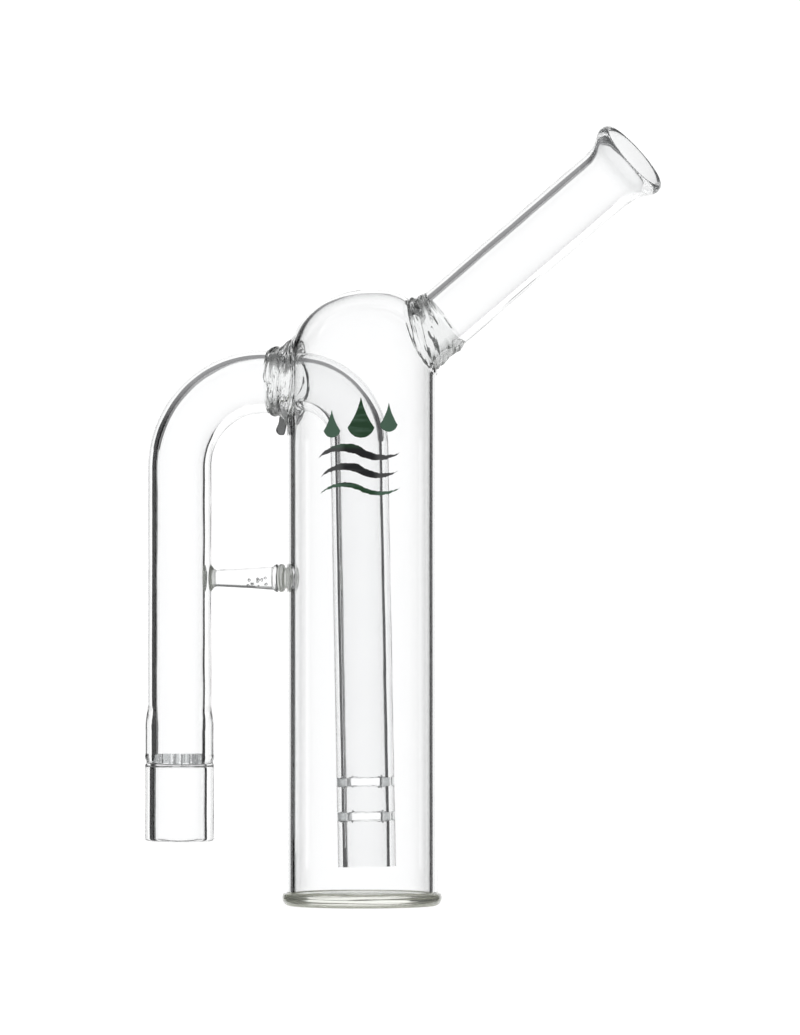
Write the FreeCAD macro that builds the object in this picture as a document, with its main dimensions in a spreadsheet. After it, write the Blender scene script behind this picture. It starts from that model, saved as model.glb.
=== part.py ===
# Clear glass water bubbler: an upright tube chamber on a rounded foot, an
# angled flared mouthpiece, a bent inlet leg with a perforated glass screen and
# an inner slotted downstem. Millimetres, +Z up. The origin is the centre of
# the foot's underside, the inlet leg is at -X and the mouthpiece at +X.
import FreeCAD, Part
import math
import os
import Sketcher

os.makedirs("parts", exist_ok=True)
V = FreeCAD.Vector
doc = FreeCAD.newDocument("WaterBubbler")

# ---------------------------------------------------------------- sizes
SIZES = [
    # chamber
    ("chamber_outer_rad", 20.0), ("chamber_inner_rad", 18.0),
    ("chamber_base_z", 3.3), ("dome_centre_z", 143.6),
    ("neck_hole_rad", 6.4),
    # foot
    ("foot_flat_rad", 19.0), ("foot_rim_rad", 2.15), ("foot_top_rad", 20.8),
    ("foot_height", 3.3), ("foot_bead_width", 0.65), ("foot_bead_height", 0.7),
    ("foot_bead_curve", 4.5),
    # mouthpiece, along its own tilted axis
    ("mouth_axis_x", 20.75), ("mouth_axis_z", 154.7), ("mouth_tilt", 50.0),
    ("mouth_outer_rad", 8.5), ("mouth_bore_rad", 6.4),
    ("mouth_collar_bottom", -12.0), ("mouth_collar_flare", 9.8),
    ("mouth_collar_ridge", 9.3), ("mouth_collar_ridge_at", 0.6),
    ("mouth_collar_top", 1.9), ("mouth_collar_curve", 4.2),
    ("mouth_tube_top", 55.8),
    ("lip_curve_outer", 21.0), ("lip_curve_inner", 24.0),
    ("lip_shoulder_rad", 11.2), ("lip_shoulder_at", 66.1),
    ("lip_mouth_rad", 9.2), ("lip_mouth_at", 68.3), ("lip_round", 1.7),
    # inlet leg and bend
    ("leg_offset", 49.55), ("leg_outer_rad", 8.5), ("leg_bore_rad", 6.5),
    ("bend_curve", 22.8), ("inlet_axis_z", 139.47), ("bend_tail", 1.5),
    ("leg_tube_bottom_z", 53.0),
    ("seam_bottom_z", 46.5), ("seam_ridge_rad", 9.35), ("seam_ridge_at", 1.3),
    # heater tip and screen
    ("tip_bottom_z", 17.0), ("tip_outer_rad", 9.25), ("tip_bore_rad", 7.0),
    ("tip_round", 0.8), ("screen_bottom_z", 37.2), ("screen_top_z", 40.3),
    ("screen_seat_rad", 6.5), ("screen_hole_rad", 1.15), ("screen_hole_circle", 4.4),
    ("screen_hole_count", 6), ("screen_ring_bulge", 9.42),
    # inlet weld, ring seal and drip
    ("collar_flare_rad", 11.6), ("collar_waist_rad", 9.3),
    ("collar_start_rad", 8.5), ("collar_curve", 3.6),
    ("collar_depth", 9.0), ("collar_length", 5.2), ("collar_throat_rad", 6.5),
    ("seal_outer_rad", 7.7), ("seal_bore_rad", 5.4), ("seal_outer_end", 20.6),
    ("seal_inner_end", 17.421),
    ("drip_offset", 21.2), ("drip_z", 127.4), ("drip_rad_x", 1.7),
    ("drip_rad_y", 2.0), ("drip_rad_z", 2.6),
    # downstem
    ("stem_bottom_x", 1.3), ("stem_bottom_z", 10.5), ("stem_tilt", 1.08),
    ("stem_outer_rad", 7.7), ("stem_bore_rad", 5.4),
    ("stem_straight", 112.7), ("stem_curve", 16.6), ("stem_turn", 88.92),
    ("slot_low_at", 12.2), ("slot_height", 2.2), ("slot_pitch", 9.2),
    ("slot_post_half", 3.1), ("slot_reach", 12.0),
    # bridge rod
    ("bridge_z", 87.1), ("bridge_pad_face", 39.8), ("bridge_pad_rad", 4.3),
    ("bridge_pad_neck", 2.35), ("bridge_pad_curve", 2.6), ("bridge_root", 43.5),
    ("bridge_rod_thin", 2.25), ("bridge_rod_thick", 3.05),
    ("bridge_rod_end", 22.6), ("bridge_cap_rad", 3.75),
    ("bridge_cap_len", 0.9),
    ("maria_rad", 3.8), ("maria_curve", 4.4), ("maria_end", 20.9),
    ("wall_seal_rad", 3.0), ("wall_seal_deep", 19.0),
    # printed mark
    ("mark_thickness", 0.08), ("mark_angle", 7.6), ("mark_z", 121.2),
    ("mark_reach", 30.0),
]

sheet = doc.addObject("Spreadsheet::Sheet", "Sizes")
P = {}
for row, (alias, value) in enumerate(SIZES, start=1):
    sheet.set("A%d" % row, alias)
    sheet.set("B%d" % row, repr(value))
    sheet.setAlias("B%d" % row, alias)
    P[alias] = float(value)
doc.recompute()


# ------------------------------------------------------------- helpers
def read(spec):
    """A size spec is a sum of terms: 'foot_height + 0.5 * lip_round - 2'."""
    words = spec.split()
    value, expr, sign, factor = 0.0, [], 1.0, 1.0
    for word in words:
        if word == "+":
            sign = 1.0
        elif word == "-":
            sign = -1.0
        elif word == "*":
            continue
        elif word in P:
            value += sign * factor * P[word]
            expr.append("%+.6f * Sizes.%s" % (sign * factor, word))
            sign, factor = 1.0, 1.0
        else:
            number = float(word)
            position = words.index(word)
            if position + 1 < len(words) and words[position + 1] == "*":
                factor = number
            else:
                value += sign * number
                expr.append("%+.6f" % (sign * number))
                sign, factor = 1.0, 1.0
    return value, " ".join(expr).lstrip("+")


def bind(obj, prop, spec):
    obj.setExpression(prop, read(spec)[1])


def plane_of(body, role):
    for feature in body.Origin.OriginFeatures:
        if feature.Role == role:
            return feature


def new_body(name):
    body = doc.addObject("PartDesign::Body", name)
    body.Label = name
    return body


def place(obj, x="0", y="0", z="0", axis=None, angle=None):
    axis = axis or V(0, 1, 0)
    turn = read(angle)[0] if angle else 0.0
    obj.Placement = FreeCAD.Placement(
        V(read(x)[0], read(y)[0], read(z)[0]), FreeCAD.Rotation(axis, turn))
    for key, spec in (("x", x), ("y", y), ("z", z)):
        if spec != "0":
            bind(obj, "Placement.Base." + key, spec)
    if angle:
        obj.setExpression("Placement.Rotation.Angle", read(angle)[1])


def sketch_in(body, name, role, offset=None):
    sk = body.newObject("Sketcher::SketchObject", name)
    sk.AttachmentSupport = [(plane_of(body, role), "")]
    sk.MapMode = "FlatFace"
    if offset:
        sk.setExpression("AttachmentOffset.Base.z", read(offset)[1])
    return sk


def pin_coordinate(sk, kind, gi, pos, spec):
    value, expr = read(spec)
    if abs(value) < 1e-9:
        sk.addConstraint(Sketcher.Constraint(
            "PointOnObject", gi, pos, -2 if kind == "DistanceX" else -1))
        return
    if value > 0:
        n = sk.addConstraint(Sketcher.Constraint(kind, -1, 1, gi, pos, value))
        sk.setExpression("Constraints[%d]" % n, expr)
    else:
        n = sk.addConstraint(Sketcher.Constraint(kind, gi, pos, -1, 1, -value))
        sk.setExpression("Constraints[%d]" % n, "-1 * (" + expr + ")")


def outline(sk, corners, closed=True):
    """corners: (x, y, edge) where edge leaves the corner: None for a line or
    (radius, side) for an arc, side +1 with its centre on the left."""
    pts = [(read(c[0])[0], read(c[1])[0]) for c in corners]
    ends, ids = [], []
    total = len(corners) if closed else len(corners) - 1
    for i in range(total):
        (px, py), (qx, qy) = pts[i], pts[(i + 1) % len(pts)]
        edge = corners[i][2]
        if edge is None:
            gi = sk.addGeometry(Part.LineSegment(V(px, py, 0), V(qx, qy, 0)))
            ends.append((gi, 1, 2))
        else:
            radius, side = read(edge[0])[0], edge[1]
            dx, dy = qx - px, qy - py
            chord = math.hypot(dx, dy)
            lift = math.sqrt(max(radius * radius - chord * chord / 4, 0))
            cx = (px + qx) / 2 - side * dy / chord * lift
            cy = (py + qy) / 2 + side * dx / chord * lift
            a = math.atan2(py - cy, px - cx)
            b = math.atan2(qy - cy, qx - cx)
            if side < 0:
                a, b = b, a
            while b < a:
                b += 2 * math.pi
            gi = sk.addGeometry(Part.ArcOfCircle(
                Part.Circle(V(cx, cy, 0), V(0, 0, 1), radius), a, b))
            ends.append((gi, 1, 2) if side > 0 else (gi, 2, 1))
        ids.append(gi)
    for i in range(total):
        if i + 1 < total or closed:
            j = (i + 1) % total
            sk.addConstraint(Sketcher.Constraint(
                "Coincident", ends[i][0], ends[i][2], ends[j][0], ends[j][1]))
    for i in range(total):
        gi, start, stop = ends[i]
        pin_coordinate(sk, "DistanceX", gi, start, corners[i][0])
        pin_coordinate(sk, "DistanceY", gi, start, corners[i][1])
        if corners[i][2] is not None:
            value, expr = read(corners[i][2][0])
            n = sk.addConstraint(Sketcher.Constraint("Radius", gi, value))
            sk.setExpression("Constraints[%d]" % n, expr)
    if not closed:
        gi, start, stop = ends[-1]
        pin_coordinate(sk, "DistanceX", gi, stop, corners[-1][0])
        pin_coordinate(sk, "DistanceY", gi, stop, corners[-1][1])
    return ids


def ring(sk, radius, x="0", y="0"):
    value, expr = read(radius)
    gi = sk.addGeometry(Part.Circle(
        V(read(x)[0], read(y)[0], 0), V(0, 0, 1), value))
    if x == "0" and y == "0":
        sk.addConstraint(Sketcher.Constraint("Coincident", gi, 3, -1, 1))
    else:
        pin_coordinate(sk, "DistanceX", gi, 3, x)
        pin_coordinate(sk, "DistanceY", gi, 3, y)
    n = sk.addConstraint(Sketcher.Constraint("Radius", gi, value))
    sk.setExpression("Constraints[%d]" % n, expr)
    return gi


def turned(name, corners, **where):
    """A body turned about its own Z from a half profile (radius, height)."""
    body = new_body(name)
    sk = sketch_in(body, name + "_profile", "XZ_Plane")
    outline(sk, corners)
    rev = body.newObject("PartDesign::Revolution", name + "_turn")
    rev.Profile = (sk, [""])
    rev.ReferenceAxis = (sk, ["V_Axis"])
    rev.Angle = 360.0
    body.Tip = rev
    if where:
        place(body, **where)
    doc.recompute()
    return body


# ---------------------------------------------------------------- foot
foot = turned("foot_disc", [
    ("0", "0", None),
    ("foot_flat_rad", "0", ("foot_rim_rad", 1)),
    ("foot_top_rad", "foot_height", None),
    ("0", "foot_height", None)])

bead = turned("foot_weld_bead", [
    ("chamber_outer_rad", "foot_height", None),
    ("chamber_outer_rad + foot_bead_width", "foot_height",
     ("foot_bead_curve", -1)),
    ("chamber_outer_rad", "foot_height + foot_bead_height", None)])

# ------------------------------------------------------------- chamber
chamber = turned("body_tube", [
    ("chamber_inner_rad", "chamber_base_z", None),
    ("chamber_outer_rad", "chamber_base_z", None),
    ("chamber_outer_rad", "dome_centre_z", ("chamber_outer_rad", 1)),
    ("0", "dome_centre_z + chamber_outer_rad", None),
    ("0", "dome_centre_z + chamber_inner_rad", ("chamber_inner_rad", -1)),
    ("chamber_inner_rad", "dome_centre_z", None)])

sk = sketch_in(chamber, "ring_seal_hole_outline", "YZ_Plane")
ring(sk, "seal_outer_rad", "0", "inlet_axis_z")
before = chamber.Shape.Volume
hole = chamber.newObject("PartDesign::Pocket", "ring_seal_hole")
hole.Profile = (sk, [""])
hole.Length = 30.0
hole.setExpression("Length", "Sizes.chamber_outer_rad + 5")
chamber.Tip = hole
doc.recompute()
print("ring seal hole removed", before - chamber.Shape.Volume)

# the neck opening is a groove about the mouthpiece axis, drawn in the
# upright plane: a construction line carries the tilted axis
sk = sketch_in(chamber, "neck_hole_outline", "XZ_Plane")
ax, az, tilt = P["mouth_axis_x"], P["mouth_axis_z"], math.radians(P["mouth_tilt"])
ux, uz = math.sin(tilt), math.cos(tilt)
back, out, wide = 12.0, 6.0, P["neck_hole_rad"]


def tilted(along, side):
    return V(ax + ux * along - uz * side, az + uz * along + ux * side, 0)


line_ids = []
corners = [tilted(-back, 0), tilted(out, 0), tilted(out, wide), tilted(-back, wide)]
for i in range(4):
    line_ids.append(sk.addGeometry(Part.LineSegment(corners[i], corners[(i + 1) % 4])))
for i in range(4):
    sk.addConstraint(Sketcher.Constraint(
        "Coincident", line_ids[i], 2, line_ids[(i + 1) % 4], 1))
axis_id = sk.addGeometry(Part.LineSegment(tilted(0, 0), tilted(out + 4, 0)), True)
pin_coordinate(sk, "DistanceX", axis_id, 1, "mouth_axis_x")
pin_coordinate(sk, "DistanceY", axis_id, 1, "mouth_axis_z")
n = sk.addConstraint(Sketcher.Constraint("Angle", -1, 1, axis_id, 1,
                                         math.pi / 2 - tilt))
sk.setExpression("Constraints[%d]" % n, "90 - Sizes.mouth_tilt")
n = sk.addConstraint(Sketcher.Constraint("Distance", axis_id, out + 4))
sk.addConstraint(Sketcher.Constraint("Parallel", line_ids[0], axis_id))
sk.addConstraint(Sketcher.Constraint("PointOnObject", line_ids[0], 1, axis_id))
sk.addConstraint(Sketcher.Constraint("Perpendicular", line_ids[0], line_ids[1]))
sk.addConstraint(Sketcher.Constraint("Parallel", line_ids[0], line_ids[2]))
sk.addConstraint(Sketcher.Constraint("Perpendicular", line_ids[0], line_ids[3]))
n = sk.addConstraint(Sketcher.Constraint("Distance", line_ids[1], wide))
sk.setExpression("Constraints[%d]" % n, "Sizes.neck_hole_rad")
sk.addConstraint(Sketcher.Constraint("Distance", line_ids[0], back + out))
sk.addConstraint(Sketcher.Constraint("Distance", axis_id, 1, line_ids[0], 2, out))
before = chamber.Shape.Volume
neck = chamber.newObject("PartDesign::Groove", "neck_hole")
neck.Profile = (sk, [""])
neck.ReferenceAxis = (sk, ["Axis0"])
neck.Angle = 360.0
chamber.Tip = neck
doc.recompute()
print("neck hole removed", before - chamber.Shape.Volume)


def chamber_envelope(name):
    """The chamber's outside, as a tool for fitting the welds against it."""
    tube = doc.addObject("Part::Cylinder", name + "_tube")
    bind(tube, "Radius", "chamber_outer_rad")
    bind(tube, "Height", "dome_centre_z")
    dome = doc.addObject("Part::Sphere", name + "_dome")
    bind(dome, "Radius", "chamber_outer_rad")
    place(dome, z="dome_centre_z")
    both = doc.addObject("Part::Fuse", name)
    both.Base, both.Tool = tube, dome
    both.Refine = False
    doc.recompute()
    return both


def turned_stock(name, corners, **where):
    """A turned blank for a weld that is then fitted to its neighbours."""
    sk = doc.addObject("Sketcher::SketchObject", name + "_profile")
    outline(sk, corners)
    # the profile is drawn in XY and turned about the sketch's own V axis
    rev = doc.addObject("Part::Revolution", name)
    rev.Source = sk
    rev.Axis = V(0, 1, 0)
    rev.Base = V(0, 0, 0)
    rev.Angle = 360.0
    rev.Solid = True
    doc.recompute()
    return rev


def stand_up(obj, x="0", y="0", z="0", tilt="0"):
    """Turns a blank made about Y so that it runs along +Z, then tilts it
    about Y and moves it."""
    holder = FreeCAD.Rotation(V(0, 1, 0), read(tilt)[0]).multiply(
        FreeCAD.Rotation(V(1, 0, 0), 90))
    obj.Placement = FreeCAD.Placement(
        V(read(x)[0], read(y)[0], read(z)[0]), holder)
    for key, spec in (("x", x), ("y", y), ("z", z)):
        if spec != "0":
            bind(obj, "Placement.Base." + key, spec)


# --------------------------------------------------------- mouthpiece
mouth_where = dict(x="mouth_axis_x", z="mouth_axis_z", angle="mouth_tilt")
turned("mouthpiece_tube", [
    ("mouth_bore_rad", "mouth_collar_top", None),
    ("mouth_outer_rad", "mouth_collar_top", None),
    ("mouth_outer_rad", "mouth_tube_top", None),
    ("mouth_bore_rad", "mouth_tube_top", None)], **mouth_where)

turned("mouthpiece_lip", [
    ("mouth_bore_rad", "mouth_tube_top", None),
    ("mouth_outer_rad", "mouth_tube_top", ("lip_curve_outer", -1)),
    ("lip_shoulder_rad", "lip_shoulder_at", ("lip_round", 1)),
    ("lip_mouth_rad", "lip_mouth_at", ("lip_curve_inner", 1))], **mouth_where)

stock = turned_stock("mouthpiece_collar_blank", [
    ("mouth_bore_rad", "mouth_collar_bottom", None),
    ("mouth_collar_flare", "mouth_collar_bottom", None),
    ("mouth_collar_flare", "- 3.4", ("mouth_collar_curve", -1)),
    ("mouth_collar_ridge", "mouth_collar_ridge_at", None),
    ("mouth_outer_rad", "mouth_collar_top", None),
    ("mouth_bore_rad", "mouth_collar_top", None)])
stand_up(stock, "mouth_axis_x", "0", "mouth_axis_z", "mouth_tilt")
collar = doc.addObject("Part::Cut", "mouthpiece_weld_collar")
collar.Label = "mouthpiece_weld_collar"
collar.Base, collar.Tool = stock, chamber_envelope("chamber_for_mouthpiece")
collar.Refine = False
doc.recompute()


# ------------------------------------------------- inlet bend and leg
def pipe(name, outer, bore, path, **where):
    body = new_body(name)
    spine = sketch_in(body, name + "_path", "XZ_Plane")
    outline(spine, path, closed=False)
    section = sketch_in(body, name + "_section", "XY_Plane")
    ring(section, outer)
    ring(section, bore)
    doc.recompute()
    sweep = body.newObject("PartDesign::AdditivePipe", name + "_sweep")
    sweep.Profile = (section, [""])
    sweep.Spine = (spine, ["Edge%d" % (i + 1) for i in range(len(path) - 1)])
    sweep.Mode = "Frenet"
    body.Tip = sweep
    if where:
        place(body, **where)
    doc.recompute()
    return body


pipe("inlet_bend_tube", "leg_outer_rad", "leg_bore_rad", [
    ("0", "0", None),
    ("0", "inlet_axis_z - bend_curve - leg_tube_bottom_z", ("bend_curve", -1)),
    ("bend_curve", "inlet_axis_z - leg_tube_bottom_z", None),
    ("bend_curve + bend_tail", "inlet_axis_z - leg_tube_bottom_z", None)],
    x="- leg_offset", z="leg_tube_bottom_z")

turned("leg_weld_seam", [
    ("screen_seat_rad", "0", None),
    ("tip_outer_rad", "0", None),
    ("seam_ridge_rad", "seam_ridge_at", None),
    ("leg_outer_rad", "leg_tube_bottom_z - seam_bottom_z", None),
    ("leg_bore_rad", "leg_tube_bottom_z - seam_bottom_z", None)],
    x="- leg_offset", z="seam_bottom_z")

turned("leg_lower_tube", [
    ("screen_seat_rad", "0", None),
    ("tip_outer_rad", "0", None),
    ("tip_outer_rad", "seam_bottom_z - screen_top_z", None),
    ("screen_seat_rad", "seam_bottom_z - screen_top_z", None)],
    x="- leg_offset", z="screen_top_z")

turned("screen_weld_ring", [
    ("screen_seat_rad", "0", None),
    ("tip_outer_rad", "0", None),
    ("screen_ring_bulge", "0.5 * screen_top_z - 0.5 * screen_bottom_z", None),
    ("tip_outer_rad", "screen_top_z - screen_bottom_z", None),
    ("screen_seat_rad", "screen_top_z - screen_bottom_z", None)],
    x="- leg_offset", z="screen_bottom_z")

turned("heater_tip_tube", [
    ("tip_bore_rad", "tip_round", ("tip_round", 1)),
    ("tip_bore_rad + tip_round", "0", None),
    ("tip_outer_rad - tip_round", "0", ("tip_round", 1)),
    ("tip_outer_rad", "tip_round", None),
    ("tip_outer_rad", "screen_bottom_z - tip_bottom_z", None),
    ("tip_bore_rad", "screen_bottom_z - tip_bottom_z", None)],
    x="- leg_offset", z="tip_bottom_z")

screen = new_body("screen_disc")
sk = sketch_in(screen, "screen_outline", "XY_Plane")
ring(sk, "screen_seat_rad")
pad = screen.newObject("PartDesign::Pad", "screen_blank")
pad.Profile = (sk, [""])
pad.Length = 3.1
bind(pad, "Length", "screen_top_z - screen_bottom_z")
sk = sketch_in(screen, "screen_centre_hole_outline", "XY_Plane")
ring(sk, "screen_hole_rad")
mid = screen.newObject("PartDesign::Pocket", "screen_centre_hole")
mid.Profile = (sk, [""])
mid.Type = "ThroughAll"
mid.Midplane = True
sk2 = sketch_in(screen, "screen_outer_hole_outline", "XY_Plane")
ring(sk2, "screen_hole_rad", "screen_hole_circle", "0")
out_hole = screen.newObject("PartDesign::Pocket", "screen_outer_hole")
out_hole.Profile = (sk2, [""])
out_hole.Type = "ThroughAll"
out_hole.Midplane = True
doc.recompute()
pattern = screen.newObject("PartDesign::PolarPattern", "screen_hole_ring")
pattern.Originals = [out_hole]
pattern.Axis = (sk2, ["N_Axis"])
pattern.Angle = 360.0
pattern.Occurrences = 6
pattern.setExpression("Occurrences", "Sizes.screen_hole_count")
screen.Tip = pattern
place(screen, x="- leg_offset", z="screen_bottom_z")
doc.recompute()

# ------------------------------------------ inlet weld, seal and drip
stock = turned_stock("inlet_collar_blank", [
    ("collar_throat_rad", "0", None),
    ("collar_start_rad", "0", None),
    ("collar_waist_rad", "1.4", None),
    ("collar_waist_rad", "2.2", ("collar_curve", -1)),
    ("collar_flare_rad", "collar_length - 0.3", None),
    ("collar_flare_rad", "collar_length + 0.4 * collar_depth", None),
    ("seal_outer_rad", "collar_length + 0.4 * collar_depth", None),
    ("seal_outer_rad", "collar_length - 0.6", None),
    ("collar_throat_rad", "collar_length - 0.6", None)])
stand_up(stock, "- leg_offset + bend_curve + bend_tail", "0", "inlet_axis_z", "90")
inlet_collar = doc.addObject("Part::Cut", "inlet_weld_collar")
inlet_collar.Label = "inlet_weld_collar"
inlet_collar.Base = stock
inlet_collar.Tool = chamber_envelope("chamber_for_inlet")
inlet_collar.Refine = False
doc.recompute()

seal = new_body("ring_seal")
sk = sketch_in(seal, "ring_seal_outline", "YZ_Plane")
ring(sk, "seal_outer_rad")
ring(sk, "seal_bore_rad")
pad = seal.newObject("PartDesign::Pad", "ring_seal_pad")
pad.Profile = (sk, [""])
bind(pad, "Length", "seal_outer_end - seal_inner_end")
seal.Tip = pad
place(seal, x="- seal_outer_end", z="inlet_axis_z")
doc.recompute()

blob = doc.addObject("Part::Ellipsoid", "drip_blank")
bind(blob, "Radius1", "drip_rad_z")
bind(blob, "Radius2", "drip_rad_x")
bind(blob, "Radius3", "drip_rad_y")
place(blob, x="- drip_offset", z="drip_z")
trim = doc.addObject("Part::Cut", "drip_on_wall")
trim.Base, trim.Tool = blob, chamber_envelope("chamber_for_drip")
collar_tool = doc.addObject("Part::Feature", "collar_for_drip")
collar_tool.Shape = inlet_collar.Shape.copy()
drip = doc.addObject("Part::Cut", "weld_drip")
drip.Label = "weld_drip"
drip.Base, drip.Tool = trim, collar_tool
doc.recompute()

# ------------------------------------------------------------ downstem
stem = new_body("downstem_tube")
spine = sketch_in(stem, "downstem_path", "XZ_Plane")
turn = math.radians(P["stem_turn"])
tall, bend = P["stem_straight"], P["stem_curve"]
g0 = spine.addGeometry(Part.LineSegment(V(0, 0, 0), V(0, tall, 0)))
g1 = spine.addGeometry(Part.ArcOfCircle(
    Part.Circle(V(-bend, tall, 0), V(0, 0, 1), bend), 0, turn))
spine.addConstraint(Sketcher.Constraint("Coincident", g0, 1, -1, 1))
spine.addConstraint(Sketcher.Constraint("Vertical", g0))
n = spine.addConstraint(Sketcher.Constraint("Distance", g0, tall))
spine.setExpression("Constraints[%d]" % n, "Sizes.stem_straight")
spine.addConstraint(Sketcher.Constraint("Tangent", g0, 2, g1, 1))
n = spine.addConstraint(Sketcher.Constraint("Radius", g1, bend))
spine.setExpression("Constraints[%d]" % n, "Sizes.stem_curve")
n = spine.addConstraint(Sketcher.Constraint(
    "DistanceX", g1, 2, -1, 1, bend * (1 - math.cos(turn))))
spine.setExpression("Constraints[%d]" % n,
                    "Sizes.stem_curve * (1 - cos(Sizes.stem_turn * 1 deg))")
section = sketch_in(stem, "downstem_section", "XY_Plane")
ring(section, "stem_outer_rad")
ring(section, "stem_bore_rad")
doc.recompute()
sweep = stem.newObject("PartDesign::AdditivePipe", "downstem_sweep")
sweep.Profile = (section, [""])
sweep.Spine = (spine, ["Edge1", "Edge2"])
sweep.Mode = "Frenet"
stem.Tip = sweep
doc.recompute()
print("downstem path length", spine.Shape.Length, spine.State, sweep.State)
sk = sketch_in(stem, "slot_outline", "YZ_Plane")
for side in (1, -1):
    mark = "" if side > 0 else "- "
    near, far = mark + "slot_post_half", mark + "slot_reach"
    low, high = "slot_low_at", "slot_low_at + slot_height"
    if side > 0:
        outline(sk, [(near, low, None), (far, low, None),
                     (far, high, None), (near, high, None)])
    else:
        outline(sk, [(far, low, None), (near, low, None),
                     (near, high, None), (far, high, None)])
before = stem.Shape.Volume
slot = stem.newObject("PartDesign::Pocket", "slot_pair")
slot.Profile = (sk, [""])
slot.Type = "ThroughAll"
slot.Midplane = True
stem.Tip = slot
doc.recompute()
print("slot pair removed", before - stem.Shape.Volume)
rows = stem.newObject("PartDesign::LinearPattern", "slot_rows")
rows.Originals = [slot]
rows.Direction = (sk, ["V_Axis"])
rows.Length = 9.2
bind(rows, "Length", "slot_pitch")
rows.Occurrences = 2
stem.Tip = rows
place(stem, x="stem_bottom_x", z="stem_bottom_z", angle="- stem_tilt")
doc.recompute()
print("two slot rows removed", before - stem.Shape.Volume)

# -------------------------------------------------------------- bridge
stock = turned_stock("bridge_pad_blank", [
    ("0", "0", None),
    ("bridge_pad_rad + 0.2", "0", None),
    ("bridge_pad_rad", "2.3", ("bridge_pad_curve", -1)),
    ("bridge_pad_neck", "bridge_root - bridge_pad_face", None),
    ("0", "bridge_root - bridge_pad_face", None)])
stand_up(stock, "- bridge_root", "0", "bridge_z", "90")
leg_tool = doc.addObject("Part::Cylinder", "leg_for_bridge")
bind(leg_tool, "Radius", "leg_outer_rad")
leg_tool.Height = 40.0
place(leg_tool, x="- leg_offset", z="bridge_z - 20")
stem_pad = doc.addObject("Part::Cut", "bridge_stem_pad")
stem_pad.Label = "bridge_stem_pad"
stem_pad.Base, stem_pad.Tool = stock, leg_tool
doc.recompute()

turned("bridge_rod", [
    ("0", "0", None),
    ("bridge_rod_thin", "0", None),
    ("bridge_rod_thick", "bridge_pad_face - bridge_rod_end - bridge_cap_len",
     None),
    ("bridge_cap_rad", "bridge_pad_face - bridge_rod_end - 0.4", None),
    ("bridge_cap_rad", "bridge_pad_face - bridge_rod_end", None),
    ("0", "bridge_pad_face - bridge_rod_end", None)],
    x="- bridge_pad_face", z="bridge_z", angle="90")

turned("bridge_body_maria", [
    ("0", "0", None),
    ("maria_rad - 0.5", "0", ("maria_curve - 3.4", 1)),
    ("maria_rad - 0.7", "bridge_rod_end - maria_end", None),
    ("0", "bridge_rod_end - maria_end", None)],
    x="- bridge_rod_end", z="bridge_z", angle="90")

wall_plug = doc.addObject("Part::Cylinder", "wall_seal_blank")
bind(wall_plug, "Radius", "wall_seal_rad")
bind(wall_plug, "Height", "maria_end - wall_seal_deep")
place(wall_plug, x="- maria_end", z="bridge_z", angle="90")
wall_seal = doc.addObject("Part::Cut", "bridge_body_seal")
wall_seal.Label = "bridge_body_seal"
wall_seal.Base = wall_plug
wall_seal.Tool = chamber_envelope("chamber_for_bridge")
doc.recompute()

# -------------------------------------------------------- printed mark
film_out = doc.addObject("Part::Cylinder", "film_outside")
film_out.Height = 40.0
bind(film_out, "Radius", "chamber_outer_rad + mark_thickness")
film_in = doc.addObject("Part::Cylinder", "film_inside")
film_in.Height = 40.0
bind(film_in, "Radius", "chamber_outer_rad")
for tool in (film_out, film_in):
    place(tool, z="mark_z - 20")
film = doc.addObject("Part::Cut", "film_shell")
film.Base, film.Tool = film_out, film_in

art = doc.addObject("Sketcher::SketchObject", "mark_art")
# three falling drops over three wave strokes


def number(value):
    return "%.3f" % value if value >= 0 else "- %.3f" % -value


def drop(cx, cy, radius, tip):
    outline(art, [
        (number(cx - 0.96 * radius), number(cy), (number(radius), 1)),
        (number(cx + 0.96 * radius), number(cy), (number(2.6 * tip), -1)),
        (number(cx), number(cy + tip), (number(2.6 * tip), -1))])


def wave(x0, x1, y0, y1, width):
    xm, ym, r = (x0 + x1) / 2, (y0 + y1) / 2, 0.95 * (x1 - x0) / 2
    outline(art, [
        (number(x0), number(y0), (number(1.15 * r), -1)),
        (number(xm), number(ym), (number(r), 1)),
        (number(x1), number(y1), (number(1.15 * r), -1)),
        (number(xm), number(ym + width), (number(r), 1))])


drop(0.6, 5.4, 3.7, 8.2)
drop(-7.3, 4.6, 2.5, 5.6)
drop(8.1, 6.2, 2.6, 5.9)
wave(-11.4, 11.2, -2.6, -1.2, 2.6)
wave(-10.4, 10.6, -7.4, -6.0, 2.4)
wave(-10.8, 11.3, -12.0, -10.4, 1.5)
prism = doc.addObject("Part::Extrusion", "mark_prism")
prism.Base = art
prism.DirMode = "Custom"
prism.Dir = V(0, 0, 1)
prism.Solid = True
bind(prism, "LengthFwd", "mark_reach")
# stand the art up so it faces the front, turned by mark_angle towards +X
spin = FreeCAD.Rotation(V(0, 0, 1), P["mark_angle"]).multiply(
    FreeCAD.Rotation(V(1, 0, 0), 90))
prism.Placement = FreeCAD.Placement(V(0, 0, P["mark_z"]), spin)
bind(prism, "Placement.Base.z", "mark_z")
decal = doc.addObject("Part::Common", "printed_decal")
decal.Label = "printed_decal"
decal.Base, decal.Tool = film, prism
doc.recompute()

# -------------------------------------------------------------- export
NODES = ["foot_disc", "foot_weld_bead", "body_tube", "mouthpiece_weld_collar",
         "mouthpiece_tube", "mouthpiece_lip", "inlet_weld_collar",
         "inlet_bend_tube", "ring_seal", "weld_drip", "downstem_tube",
         "bridge_rod", "bridge_body_maria", "bridge_body_seal",
         "bridge_stem_pad", "screen_disc", "screen_weld_ring",
         "leg_lower_tube", "leg_weld_seam", "heater_tip_tube",
         "printed_decal"]

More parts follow.
